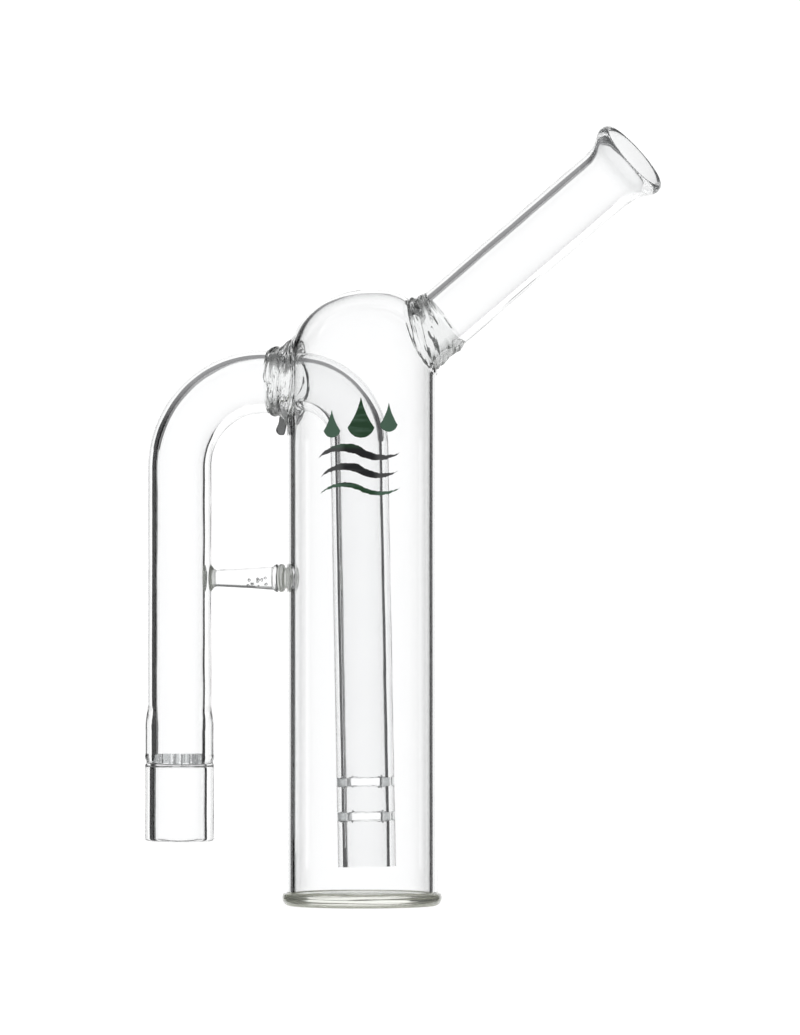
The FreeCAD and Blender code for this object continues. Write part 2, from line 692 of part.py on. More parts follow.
problems = []
for obj in doc.Objects:
    bad = [s for s in obj.State if s in ("Invalid", "Error")]
    if bad:
        problems.append("%s: %s" % (obj.Name, bad))
for label in NODES:
    found = doc.getObjectsByLabel(label)
    if len(found) != 1:
        problems.append("%s: %d objects" % (label, len(found)))
        continue
    shape = found[0].Shape
    if shape.isNull() or not shape.isValid() or not shape.Solids:
        problems.append("%s: bad shape" % label)
        continue
    box = shape.BoundBox
    print("%-24s solids %d volume %9.2f x %7.2f..%7.2f y %7.2f..%7.2f z %7.2f..%7.2f" % (
        label, len(shape.Solids), shape.Volume, box.XMin, box.XMax,
        box.YMin, box.YMax, box.ZMin, box.ZMax))
if problems:
    raise RuntimeError("; ".join(problems))
for label in NODES:
    doc.getObjectsByLabel(label)[0].Shape.exportStep("parts/%s.step" % label)
print("exported", len(NODES))
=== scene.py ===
"""A clear glass bubbler, standing on its foot at z = 0 with the chamber's axis on Z.

The front, with the printed mark, faces -Y. The mouthpiece leans out towards +X. The
inlet leg stands at -X, bends over into the chamber at the top and goes on inside as
the downstem. A short bridge rod ties the leg to the chamber. Lengths are in mm
unless they say metres; local frames keep mm too, and MM scales them.
"""

import math

import bmesh
import bpy
import numpy as np
from mathutils import Matrix, Vector


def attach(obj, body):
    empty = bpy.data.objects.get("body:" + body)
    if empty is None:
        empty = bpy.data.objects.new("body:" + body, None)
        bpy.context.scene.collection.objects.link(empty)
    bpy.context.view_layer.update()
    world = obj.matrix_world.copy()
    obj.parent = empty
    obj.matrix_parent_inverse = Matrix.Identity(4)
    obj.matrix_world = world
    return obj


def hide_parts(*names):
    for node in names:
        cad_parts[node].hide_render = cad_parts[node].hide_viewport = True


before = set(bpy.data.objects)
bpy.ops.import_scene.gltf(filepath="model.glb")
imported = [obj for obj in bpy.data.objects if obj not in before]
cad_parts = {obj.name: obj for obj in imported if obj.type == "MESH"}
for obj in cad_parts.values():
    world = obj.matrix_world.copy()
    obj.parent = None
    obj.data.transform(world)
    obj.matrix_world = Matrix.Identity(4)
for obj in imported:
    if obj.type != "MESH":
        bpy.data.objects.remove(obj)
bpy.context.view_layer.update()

MM = 0.001
OVER = 0.03          # how far a piece of glass runs into its neighbour

# ------------------------------------------------------------- dimensions
# _R is an outer radius, _RI an inner radius, _X and _Z are places.
BODY_R, BODY_RI = 20.0, 18.0
BASE_Z, DOME_Z = 3.3, 143.6                 # ends of the chamber's straight wall

MOUTH_X, MOUTH_Z, MOUTH_TILT = 20.75, 154.7, math.radians(50.0)
MOUTH_R, MOUTH_RI = 8.5, 6.4
MOUTH_START, LIP_START = 1.9, 55.8          # along the mouthpiece's axis

LEG_X, LEG_R, LEG_RI = -49.55, 8.5, 6.3
SEAT_R = 6.15                               # bore that holds the screen
TIP_R, TIP_RI, TIP_Z = 9.25, 6.75, 17.0
LOWER_R = TIP_R - 0.1
SCREEN_Z, SCREEN_THICK = 37.2, 3.1
SCREEN_TOP = SCREEN_Z + SCREEN_THICK
SEAM_Z, LEG_Z = 46.5, 53.0                  # ends of the tapered seam
BEND_R, INLET_Z = 22.8, 139.47
BEND_TAIL = 1.5                             # straight glass after the bend
RING_SEAL_X = -20.6

STEM_X, STEM_Z, STEM_TILT = 1.3, 10.5, math.radians(1.08)
STEM_R, STEM_RI = 7.7, 5.4
STEM_LONG, STEM_BEND, STEM_TURN = 112.7, 16.6, math.radians(88.92)

BRIDGE_Z, PAD_HIGH = 87.1, 1.25

ROUND = 192                                 # segments round a tube
SMALL_ROUND = 96                            # segments round a bridge piece
SHARP = 38.0                                # edges above this angle stay sharp
SOFT_SHARP = 60                             # the same for melted glass


# ------------------------------------------------------------ small noise
def unit(value):
    return np.clip(value, 0, 1)


def wobble(seed, across, along, scale=1.0):
    """Smooth seeded noise of two numbers, about -1..1, made of sines."""
    rng = np.random.default_rng(seed)
    total, weight = 0.0, 0.0
    for octave in range(4):
        rates = rng.uniform(0.6, 1.4, 4)
        phase, turn = rng.uniform(0, 2 * math.pi, 2)
        pitch = scale * 1.7 ** octave
        share = 0.62 ** octave
        total = total + share \
            * np.sin(pitch * rates[0] * across + phase
                     + 1.3 * np.sin(pitch * rates[1] * along + turn)) \
            * np.cos(pitch * rates[2] * along + turn * 1.7
                     + 0.8 * np.sin(pitch * rates[3] * across + phase))
        weight += share
    return total / weight * 1.6


def ring_wave(seed, angle, count=5):
    """Smooth seeded noise round a circle."""
    rng = np.random.default_rng(seed)
    total, weight = 0.0, 0.0
    for k in range(1, count + 1):
        share = rng.uniform(0.5, 1.0) / k ** 0.6
        total = total + share * np.sin(k * angle + rng.uniform(0, 2 * math.pi))
        weight += share
    return total / weight


# --------------------------------------------------------------- outlines
def line(points, step=1.5):
    """Samples straight runs between points."""
    out = []
    for (ax, ay), (bx, by) in zip(points, points[1:]):
        count = max(1, int(math.ceil(math.hypot(bx - ax, by - ay) / step)))
        for i in range(count):
            share = i / count
            out.append((ax + (bx - ax) * share, ay + (by - ay) * share))
    out.append(points[-1])
    return out


def arc(centre_x, centre_y, radius, start, end, steps):
    """Points of a circular arc. Angles are in degrees."""
    angles = [math.radians(start + (end - start) * i / steps) for i in range(steps + 1)]
    return [(centre_x + radius * math.cos(angle), centre_y + radius * math.sin(angle))
            for angle in angles]


def curve(points, steps):
    """A smooth curve through points (Catmull-Rom)."""
    knots = [np.array(point, float) for point in points]
    knots = [2 * knots[0] - knots[1]] + knots + [2 * knots[-1] - knots[-2]]
    out = []
    for before, start, end, after in zip(knots, knots[1:], knots[2:], knots[3:]):
        for k in range(steps):
            t = k / steps
            out.append(tuple(0.5 * (2 * start + (end - before) * t
                       + (2 * before - 5 * start + 4 * end - after) * t * t
                       + (3 * start - before - 3 * end + after) * t ** 3)))
    out.append(tuple(knots[-2]))
    return out


def tidy(profile, least=1e-4):
    """Drops repeated points, and a last point that closes the outline."""
    out = []
    for point in profile:
        if not out or math.dist(point, out[-1]) > least:
            out.append(point)
    if math.dist(out[0], out[-1]) < least:
        out.pop()
    return out


# ------------------------------------------------------------ mesh makers
def polar(radius, angle, z):
    return radius * np.cos(angle), radius * np.sin(angle), z


def circle_angles(count):
    return np.arange(count) * 2 * math.pi / count


def new_mesh(name, verts, faces):
    mesh = bpy.data.meshes.new(name)
    mesh.from_pydata([tuple(v) for v in (np.asarray(verts) * MM)], [],
                     [tuple(int(i) for i in face) for face in faces])
    mesh.update()
    return mesh


def plain_object(name, verts, faces):
    ob = bpy.data.objects.new(name, new_mesh(name, verts, faces))
    bpy.context.scene.collection.objects.link(ob)
    return ob


def finish_shading(ob, sharp=SHARP):
    mesh = ob.data
    mesh.polygons.foreach_set("use_smooth", [True] * len(mesh.polygons))
    mesh.set_sharp_from_angle(angle=math.radians(sharp))
    mesh.update()


def make_object(name, verts, faces, sharp=SHARP):
    ob = plain_object(name, verts, faces)
    finish_shading(ob, sharp)
    return ob


def ring_faces(first, second, count):
    """Quads between two rings of vertices that start at first and second."""
    return [(first + k, first + (k + 1) % count, second + (k + 1) % count, second + k)
            for k in range(count)]


def lathe(name, profile, segments, shape=polar, sharp=SHARP, skip=()):
    """Turns a closed outline (radius, height), anticlockwise in the (r, z)
    half plane, about Z. shape(radius, angle, z) gives the final x, y, z. The
    outline's edges listed in skip are left open."""
    profile = tidy(profile)
    count = len(profile)
    angles = circle_angles(segments)
    rings, index, made = [], np.zeros((count, segments), int), 0
    for i, (radius, z) in enumerate(profile):
        spun = angles if radius >= 1e-6 else np.zeros(1)
        rings.append(np.stack(shape(np.full(len(spun), float(radius)), spun,
                                    np.full(len(spun), float(z))), 1))
        index[i] = made + np.arange(len(spun))
        made += len(spun)
    faces = []
    for i in range(count):
        j = (i + 1) % count
        if (profile[i][0] < 1e-6 and profile[j][0] < 1e-6) or i in skip:
            continue
        for k in range(segments):
            m = (k + 1) % segments
            face = list(dict.fromkeys((index[i, k], index[i, m], index[j, m], index[j, k])))
            if len(face) >= 3:
                faces.append(face)
    return make_object(name, np.concatenate(rings), faces, sharp)


def tube(name, outer, inner, shape=polar, sharp=SHARP, low=False):
    """A turned wall from an outer and an inner edge, both listed upwards. An
    end that is fused to the next tube is left open, so that light crosses the
    joint as it crosses solid glass: always the high end, and the low end too
    unless low is True."""
    outer, inner = tidy(outer), tidy(inner)
    skip = {len(outer)} if low else {0, len(outer)}
    return lathe(name, [inner[0]] + outer + inner[:0:-1], ROUND, shape, sharp, skip)


def sweep(name, path, tangents, outer, inner, low=False):
    """A tube along a path in the XZ plane. outer and inner are radius
    functions of (distance, angle). Its ends are open as in tube()."""
    path = np.asarray(path, float)
    steps = np.linalg.norm(np.diff(path, axis=0), axis=1)
    distance = np.concatenate([[0], np.cumsum(steps)])
    angles = circle_angles(ROUND)
    across = np.array([0.0, 1.0, 0.0])
    count = len(path)

    def ring(radius_at, i):
        radius = radius_at(distance[i], angles)
        return path[i] + np.outer(radius * np.cos(angles), np.cross(across, tangents[i])) \
            + np.outer(radius * np.sin(angles), across)

    rings = [ring(outer, i) for i in range(count)]
    rings += [ring(inner, i) for i in reversed(range(count))]
    faces = []
    for i in range(2 * count):
        if i == count - 1 or (i == 2 * count - 1 and not low):
            continue
        faces += ring_faces(i * ROUND, (i + 1) % (2 * count) * ROUND, ROUND)
    return make_object(name, np.concatenate(rings), faces)


def bent_path(x, z_start, z_bend, radius, start, end, line_steps, arc_steps, tail=()):
    """A straight run up Z and an arc on from it. start and end are the arc's
    angles. tail: distances of further points straight on. Returns the points
    and their tangents."""
    points, tangents = [], []
    for i in range(line_steps):
        points.append((x, 0.0, z_start + (z_bend - z_start) * i / line_steps))
        tangents.append(np.array([0, 0, 1.0]))
    centre_x = x - radius * math.cos(start)
    turn = math.copysign(1, end - start)
    for i in range(arc_steps + 1):
        angle = start + (end - start) * i / arc_steps
        points.append((centre_x + radius * math.cos(angle), 0.0,
                       z_bend + radius * math.sin(angle)))
        tangents.append(np.array([-math.sin(angle) * turn, 0, math.cos(angle) * turn]))
    last, tangent = np.array(points[-1]), tangents[-1]
    for distance in tail:
        points.append(tuple(last + tangent * distance))
        tangents.append(tangent)
    return points, tangents


def bent_wall(radius, oval, seed, straight, bent, calm, period):
    """Radius function of a bent tube: oval in the bend, and a little uneven
    except where calm(distance) is 0."""
    def radius_at(distance, angle):
        squeeze = oval * math.sin(math.pi * unit((distance - straight) / bent))
        return radius * (1 - squeeze * np.cos(2 * angle)) \
            + calm(distance) * 0.03 * wobble(seed, angle, distance / period)
    return radius_at


def boolean(ob, cutter):
    """Cuts cutter out of ob and removes it."""
    mod = ob.modifiers.new("cut", "BOOLEAN")
    mod.operation = "DIFFERENCE"
    mod.solver = "EXACT"
    mod.object = cutter
    mod.material_mode = "TRANSFER"
    depsgraph = bpy.context.evaluated_depsgraph_get()
    mesh = bpy.data.meshes.new_from_object(ob.evaluated_get(depsgraph), depsgraph=depsgraph)
    ob.modifiers.clear()
    old = ob.data
    ob.data = mesh
    bpy.data.meshes.remove(old)
    bpy.data.objects.remove(cutter)
    finish_shading(ob)


def place(x, y, z):
    return Matrix.Translation(Vector((x, y, z)) * MM)


def about_y(angle):
    return Matrix.Rotation(angle, 4, "Y")


def moved(ob, matrix):
    ob.data.transform(matrix)
    ob.data.update()
    return ob


def about_leg(ob, z):
    return moved(ob, place(LEG_X, 0, z))


def dress(ob, material, part):
    if not ob.data.materials:
        ob.data.materials.append(material)
    for i, had in enumerate(ob.data.materials):
        if had is None:      # a cut can leave an empty slot
            ob.data.materials[i] = material
    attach(ob, "root")
    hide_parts(part)


# ----------------------------------------------------------- shader nodes
def clear_tree(block):
    block.use_nodes = True
    block.node_tree.nodes.clear()
    return block.node_tree


def add_node(tree, kind, inputs=None, **settings):
    """Adds a shader node and returns its outputs. An input is linked if it is
    given a socket, and set if it is given a value."""
    made = tree.nodes.new("ShaderNode" + kind)
    for name, value in settings.items():
        setattr(made, name, value)
    for key, value in (inputs or {}).items():
        if isinstance(value, bpy.types.NodeSocket):
            tree.links.new(value, made.inputs[key])
        else:
            made.inputs[key].default_value = value
    return made.outputs


def math_node(tree, operation, *values, clamp=False):
    return add_node(tree, "Math", dict(enumerate(values)), operation=operation,
                    use_clamp=clamp)["Value"]


def map_range(tree, value, start, end, low=0.0, high=1.0):
    return add_node(tree, "MapRange", {"Value": value, "From Min": start, "From Max": end,
                                       "To Min": low, "To Max": high})["Result"]


def mix_colours(tree, factor, first, second, **settings):
    # data_type comes first: it decides which inputs A and B are
    return add_node(tree, "Mix", {"Factor": factor, "A": first, "B": second},
                    data_type="RGBA", **settings)["Result"]


def colour_ramp(tree, factor, interpolation, stops):
    """stops: (position, colour), from first to last."""
    output = add_node(tree, "ValToRGB", {"Fac": factor})["Color"]
    ramp = output.node.color_ramp
    ramp.interpolation = interpolation
    for element, (position, colour) in zip(ramp.elements, (stops[0], stops[-1])):
        element.position, element.color = position, (*colour, 1)
    for position, colour in stops[1:-1]:
        ramp.elements.new(position).color = (*colour, 1)
    return output


# -------------------------------------------------------------- materials
# A veil's reach is a number across the glass, in metres where it is a place.
def along(tree, vector, direction=(0, 0, 1)):
    return add_node(tree, "VectorMath", {0: vector, 1: direction},
                    operation="DOT_PRODUCT")["Value"]


def facing_up(tree, coords):
    """1 where the surface faces up, -1 where it faces down. It places painted shade on glass
    that faces down.
    """
    return along(tree, add_node(tree, "NewGeometry")["Normal"])


def mouth_reach(tree, coords):
    """How far out the place lies along the mouthpiece's axis."""
    return along(tree, coords, (0.766, 0.0, 0.643))


def rim_height(tree, coords):
    """Height, raised out of reach inside the foot's lower edge. It places painted shade along
    the foot's lower rim.
    """
    height = along(tree, coords)
    flat = add_node(tree, "VectorMath", {0: coords, 1: (1, 1, 0)},
                    operation="MULTIPLY")["Vector"]
    radius = add_node(tree, "VectorMath", {0: flat}, operation="LENGTH")["Value"]
    return math_node(tree, "ADD", height,
                     map_range(tree, radius, 0.0193, 0.0189, high=0.02))


def glass(name, tint, ripple, ripple_scale, rough=0.0, veil=0.0,
          veil_tint=(0.8, 0.85, 0.84), second=None):
    """Clear glass. A fine ripple bends the surface a little; lamps pass
    through it as tinted light, so it doesn't cast a black shadow. veil: share
    of matt colour over it. second: a veil that takes over where its reach
    goes from start to full; on the welds, the rod and the foot's lower rim
    it is painted shade."""
    material = bpy.data.materials.new(name)
    tree = clear_tree(material)
    coords = add_node(tree, "TexCoord")["Object"]
    noise = add_node(tree, "TexNoise", {"Vector": coords, "Scale": ripple_scale,
                                        "Detail": 2.0})["Fac"]
    surface = add_node(tree, "BsdfPrincipled", {
        "Transmission Weight": 1.0,
        "Roughness": rough,
        "IOR": 1.474,
        "Specular IOR Level": 0.5,
        "Base Color": mix_colours(tree, noise, (*tint, 1), (*(c * 0.985 for c in tint), 1)),
        "Normal": add_node(tree, "Bump", {"Strength": ripple, "Distance": 0.0002,
                                          "Height": noise})["Normal"],
    })["BSDF"]
    if veil or second:
        haze_and_painted_shade = add_node(tree, "BsdfDiffuse", {"Color": (*veil_tint, 1)})["BSDF"]
        surface = add_node(tree, "MixShader", {"Fac": veil, 1: surface, 2: haze_and_painted_shade})["Shader"]
    # the second veil paints shade: a darker matt colour where its reach says
    if second:
        reach = second["reach"](tree, coords)
        span = (second["start"], second["full"])
        tree.links.new(map_range(tree, reach, *span, low=veil, high=second["veil"]),
                       surface.node.inputs["Fac"])
        tree.links.new(mix_colours(tree, map_range(tree, reach, *span), (*veil_tint, 1),
                                   (*second["tint"], 1)), haze_and_painted_shade.node.inputs["Color"])
    clear = add_node(tree, "BsdfTransparent", {"Color": (*(c * 0.97 for c in tint), 1)})["BSDF"]
    shadow = add_node(tree, "LightPath")["Is Shadow Ray"]
    surface = add_node(tree, "MixShader", {"Fac": shadow, 1: surface, 2: clear})["Shader"]
    add_node(tree, "OutputMaterial", {"Surface": surface})
    return material


def ink(name):
    """Fired print: green at the top and bottom, black between, paler and dry
    towards its two sides, with faint streaks. Places are in metres."""
    material = bpy.data.materials.new(name)
    material.use_nodes = True
    tree = material.node_tree
    coords = add_node(tree, "TexCoord")["Object"]
    spot = add_node(tree, "SeparateXYZ", {"Vector": coords})
    stretched = add_node(tree, "Mapping", {"Vector": coords, "Scale": (0.4, 0.4, 2.4),
                                           "Rotation": (0.0, 0.6, 0.0)})["Vector"]
    noise = add_node(tree, "TexNoise", {"Vector": stretched, "Scale": 260.0,
                                        "Detail": 4.0})["Fac"]

    top = map_range(tree, spot["Z"], 0.1208, 0.1222)
    bottom = map_range(tree, spot["Z"], 0.1124, 0.1116)
    green = math_node(tree, "MAXIMUM", top, bottom)
    streak = math_node(tree, "MULTIPLY_ADD", noise, 0.5, -0.25)
    greenness = math_node(tree, "MULTIPLY_ADD", streak, 0.15, green, clamp=True)
    full = mix_colours(tree, greenness, (0.006, 0.007, 0.008, 1), (0.010, 0.060, 0.018, 1))
    pale = mix_colours(tree, green, (0.105, 0.107, 0.105, 1), (0.095, 0.185, 0.125, 1))

    # thin strokes of the brush are paler, and so are the two sides
    dry = map_range(tree, noise, 0.50, 0.66, high=0.5)
    aside = math_node(tree, "ABSOLUTE", math_node(tree, "SUBTRACT", spot["X"], 0.0027))
    sides = map_range(tree, aside, 0.0036, 0.0052, high=0.85)
    colour = mix_colours(tree, math_node(tree, "MAXIMUM", dry, sides), full, pale)

    principled = tree.nodes["Principled BSDF"]
    principled.inputs["Roughness"].default_value = 0.42
    tree.links.new(colour, principled.inputs["Base Color"])
    return material


PURE = dict(tint=(0.994, 0.996, 0.997), ripple=0.03, ripple_scale=60.0)
CLEAR = glass("of_clear_glass", **PURE)
# The welds' second veil is painted shade: dark grey matt where the glass faces down.
WELD = glass("of_weld_glass", (0.985, 0.99, 0.99), rough=0.01, ripple=0.06,
             ripple_scale=140.0, veil=0.05, veil_tint=(0.62, 0.64, 0.62),
             second=dict(reach=facing_up, start=-0.50, full=-0.88, veil=0.62,
                         tint=(0.24, 0.245, 0.235)))
SEAL = glass("of_seal_glass", (0.98, 0.985, 0.98), rough=0.02, ripple=0.12,
             ripple_scale=300.0, veil=0.34, veil_tint=(0.60, 0.62, 0.57))
LIP = glass("of_lip_glass", **PURE,
            second=dict(reach=mouth_reach, start=0.1745, full=0.1830, veil=0.15,
                        tint=(0.85, 0.86, 0.86)))
# The foot's second veil is painted shade along its lower rim, in the glass's own olive tint.
FOOT = glass("of_foot_glass", (0.985, 0.988, 0.945), rough=0.03, ripple=0.10,
             ripple_scale=160.0, veil=0.10, veil_tint=(0.88, 0.90, 0.80),
             second=dict(reach=rim_height, start=0.0011, full=0.0006, veil=0.52,
                         tint=(0.46, 0.47, 0.40)))
# The rod's second veil is painted shade: dark matt where the rod faces down.
ROD = glass("of_rod_glass", **PURE,
            second=dict(reach=facing_up, start=-0.66, full=-0.80, veil=0.72,
                        tint=(0.17, 0.175, 0.17)))
SMOKE = glass("of_smoked_glass", (0.8, 0.81, 0.81), rough=0.03, ripple=0.2,
              ripple_scale=300.0, veil=0.62, veil_tint=(0.06, 0.062, 0.062))
SCREEN = glass("of_screen_glass", (0.97, 0.98, 0.98), rough=0.03, ripple=0.25,
               ripple_scale=500.0)
FROST = glass("of_cut_glass", (0.9, 0.92, 0.92), rough=0.45, ripple=0.8,
              ripple_scale=900.0, veil=0.28, veil_tint=(0.62, 0.64, 0.64))
INK = ink("of_printed_ink")


# ---------------------------------------------------------------- chamber
DRAW_TILT = math.radians(36)     # pull direction, from +Z towards +X
DRAW_SPREAD = 23.0               # degrees
DRAW_MUCH, CROWN_MUCH = 1.6, 0.75


def draw_up(x, y, z):
    """The dome was drawn up towards the mouthpiece while it was hot."""
    dz = z - DOME_Z
    far = np.maximum(np.sqrt(x * x + y * y + dz * dz), 1e-6)
    facing = np.clip((x * math.sin(DRAW_TILT) + dz * math.cos(DRAW_TILT)) / far, -1, 1)
    swell = DRAW_MUCH * np.exp(-(np.degrees(np.arccos(facing)) / DRAW_SPREAD) ** 2)
    centre = unit((far - 4.0) / 10.0)
    swell = swell * unit((26.5 - far) / 4.0) * centre
    # the wall thins out towards the crown
    high = unit((dz / far - 0.40) / 0.60)
    swell = swell + CROWN_MUCH * unit((BODY_R - far) / 2.0) \
        * high * high * (3 - 2 * high) * centre
    scale = 1 + swell / far
    return x * scale, y * scale, DOME_Z + dz * scale


def chamber_shape(radius, angle, z):
    """Slight hand-worked unevenness: most at the dome."""
    up = unit((z - 118.0) / 30.0) ** 2
    sway = 0.03 * np.sin(z / 23.0 + 1.0) + 0.02 * np.sin(z / 9.0)
    lump = up * (0.10 * ring_wave(11, angle, 4) + 0.05 * wobble(12, angle, z / 6.0))
    uneven = radius + (sway * 0.5 + lump) * unit(radius / 12.0)
    x, y, z = polar(uneven, angle, z)
    # the worked shoulder on the inlet side falls away a little sooner
    lean = unit(-x / BODY_R) * unit((z - 146.0) / 16.0)
    return draw_up(x, y, z - 1.2 * lean * unit((z - 148.0) / 12.0))


def worked(x, y, z):
    """The chamber's hand-worked shape, fading out away from its wall."""
    shaped = chamber_shape(np.hypot(x, y), np.arctan2(y, x), z)
    drawn = draw_up(x, y, z)
    far = np.sqrt(x * x + y * y + np.clip(z - DOME_Z, 0, None) ** 2)
    share = unit(1 - (far - BODY_R) / 3.0)
    return tuple(b + (a - b) * share for a, b in zip(shaped, drawn))


profile = line([(BODY_RI, BASE_Z - OVER), (BODY_R, BASE_Z - OVER)], 1.0)
profile += line([(BODY_R, BASE_Z), (BODY_R, DOME_Z)], 2.5)
profile += arc(0, DOME_Z, BODY_R, 0, 90, 56)[1:-1]
profile += [(0.0, DOME_Z + BODY_R), (0.0, DOME_Z + BODY_RI)]
profile += arc(0, DOME_Z, BODY_RI, 90, 0, 52)[1:]
profile += line([(BODY_RI, DOME_Z), (BODY_RI, BASE_Z)], 2.5)[1:]
chamber = lathe("chamber_tube_glass", profile, 256)
chamber.data.materials.append(CLEAR)

# Both frames' +Z runs out of the chamber. The inlet frame's X is up.
MOUTH_FRAME = place(MOUTH_X, 0, MOUTH_Z) @ about_y(MOUTH_TILT)
INLET_FRAME = place(0, 0, INLET_Z) @ about_y(-math.pi / 2)


# ------------------------------------------------------------- weld collars
def in_mm(matrix):
    scaled = np.array(matrix)
    scaled[:3, 3] /= MM
    return scaled


def wall_at(matrix, radius, angle, low, high, wall_radius):
    """Height along the local axis, between low and high, at which the line at
    (radius, angle) meets the chamber's wall of wall_radius."""
    frame = in_mm(matrix)
    low = np.full(np.shape(angle), float(low))
    high = np.full(np.shape(angle), float(high))
    for _ in range(40):
        middle = (low + high) / 2
        x, y, z, _ = frame @ np.stack([*polar(radius, angle, middle), np.ones_like(middle)])
        far = np.sqrt(x ** 2 + y ** 2 + np.clip(z - DOME_Z, 0, None) ** 2)
        outside = far - wall_radius > 0
        high = np.where(outside, middle, high)
        low = np.where(outside, low, middle)
    return (low + high) / 2


def swirl(seed, angle, share, pitch):
    """Smooth seeded noise round a ring and along it, without a seam."""
    return wobble(seed, pitch * (np.cos(angle) + 1.1 * share),
                  pitch * (np.sin(angle) + 2.3 * share), 1.3)


def footprint(angle, size, oval, seed):
    return size * (1 - oval * np.sin(angle) ** 2) + 0.35 * ring_wave(seed, angle, 6)


def mouth_foot(angle):
    return footprint(angle, 9.25, 0.0, 62) - 0.35 * np.cos(angle)


def inlet_foot(angle):
    return footprint(angle, 11.6, 0.16, 72)


def rounded(places, values, shares):
    """values at the given places, read off at shares and smoothed."""
    out = np.interp(shares, places, values)
    kernel = np.array([1, 2, 3, 2, 1.0]) / 9
    padded = np.concatenate([[out[0]] * 2, out, [out[-1]] * 2])
    out = np.convolve(padded, kernel, "valid")
    out[0], out[-1] = values[0], values[-1]
    return out


def collar(name, matrix, foot_at, stations, bore, throat, top, bottom, seeds, wrinkle,
           inner_end=None):
    """A weld that stands in for the chamber's wall inside its footprint.
    stations: (share of the height, share of the way from the footprint to the
    radius, radius). bore: inner radius at the tube. throat: radius on the
    chamber's inner wall. inner_end: (height, radius) where the bore ends, if
    not at the throat. Both edges are left open where glass goes on into glass."""
    angles = circle_angles(ROUND)
    base = foot_at(angles)
    shares = np.linspace(0, 1, 56)
    places, mixes, radii = zip(*stations)
    mixes, radii = rounded(places, mixes, shares), rounded(places, radii, shares)
    outer, inner, lining = [], [], []

    wall = wall_at(matrix, base, angles, bottom, top, BODY_R)
    for share, mix, end_radius in zip(shares, mixes, radii):
        # the wrinkles fade at both edges and are calmer round the middle
        hush = min(1.0, (1 - share) / 0.12) * min(1.0, share / 0.06)
        calm = 1 - 0.7 * math.exp(-((share - 0.58) / 0.2) ** 2)
        radius = base * (1 - mix) + end_radius * mix
        radius = radius + hush * calm * wrinkle * (
            0.9 * swirl(seeds[0], angles, share, 1.4)
            + 0.3 * swirl(seeds[0] + 9, angles, share, 3.0)
            + 0.5 * ring_wave(seeds[1], angles + 1.3 * share, 7))
        if 0 < share < 1:
            radius = np.maximum(radius, bore + 0.7)
        outer.append(polar(radius, angles, wall + share * (top - wall)))

    if inner_end is None:
        end_height = wall_at(matrix, np.full_like(angles, throat), angles, bottom - 6, top,
                             BODY_RI)
        end_radius = throat
    else:
        end_height, end_radius = np.full_like(angles, inner_end[0]), inner_end[1]
    for share in shares[::-1]:
        radius = end_radius + (bore - end_radius) * min(1.0, share / 0.75) \
            + 0.12 * math.sin(math.pi * share) * ring_wave(seeds[2], angles, 5)
        inner.append(polar(radius, angles, end_height + share * (top - end_height)))

    for k in range(9):
        radius = throat + (base - throat) * k / 8
        height = wall_at(matrix, radius, angles, bottom - 6, top, BODY_RI) \
            + 0.55 * math.sin(math.pi * k / 8) * swirl(seeds[2] + 5, angles, k / 8, 1.5)
        lining.append(polar(radius, angles, height))

    frame = in_mm(matrix)
    verts, faces, start = [], [], 0
    for rows in (outer, inner, lining):
        for row in rows:
            spots = np.stack(row, 1) @ frame[:3, :3].T + frame[:3, 3]
            verts.append(np.stack(worked(*spots.T), 1))
        for i in range(start, start + len(rows) - 1):
            faces += ring_faces(i * ROUND, (i + 1) * ROUND, ROUND)
        start += len(rows)
    return make_object(name, np.concatenate(verts), faces, SOFT_SHARP)


def open_cut(ob, matrix, foot_at, low, high):
    """Cuts the wall away inside a footprint and leaves the cut edge open for
    the weld. The cutter's own material marks the faces to delete."""
    angles = circle_angles(ROUND)
    verts = [(radius * math.cos(angle), radius * math.sin(angle), z) for z in (low, high)
             for radius, angle in zip(foot_at(angles), angles)]
    faces = ring_faces(0, ROUND, ROUND)
    faces += [tuple(range(ROUND))[::-1], tuple(range(ROUND, 2 * ROUND))]
    cutter = make_object("cut_wall", verts, faces, 30)
    cutter.data.materials.append(WELD)
    boolean(ob, moved(cutter, matrix))

    which = [i for i, material in enumerate(ob.data.materials) if material == WELD]
    bm = bmesh.new()
    bm.from_mesh(ob.data)
    gone = [face for face in bm.faces if face.material_index in which]
    bmesh.ops.delete(bm, geom=gone, context="FACES")
    bm.to_mesh(ob.data)
    bm.free()
    ob.data.materials.clear()
    for polygon in ob.data.polygons:
        polygon.material_index = 0
    ob.data.materials.append(CLEAR)
    finish_shading(ob)


open_cut(chamber, MOUTH_FRAME, mouth_foot, -16.0, 6.0)
open_cut(chamber, INLET_FRAME, inlet_foot, 8.0, 26.0)
spots = np.empty(len(chamber.data.vertices) * 3)
chamber.data.vertices.foreach_get("co", spots)
spots = spots.reshape(-1, 3) / MM
chamber.data.vertices.foreach_set("co", (np.stack(worked(*spots.T), 1) * MM).ravel())
chamber.data.update()
dress(chamber, CLEAR, "body_tube")

# -------------------------------------------------------------------- foot
# (radius, height): the underside, the round rim, then the upper side
foot_profile = line([(0, 0.35), (14.0, 0.30)], 1.0)
foot_profile += curve([(15.5, 0.22), (17.4, 0.03), (19.0, 0.0)], 6)
foot_profile += arc(19.0, 2.15, 2.15, -90, 32, 26)[1:]
foot_profile += [(20.5, BASE_Z), (BODY_R, BASE_Z)]
foot_profile += curve([(18.0, BASE_Z), (16.6, 3.1), (13.5, 2.95), (0.0, 2.9)], 8)


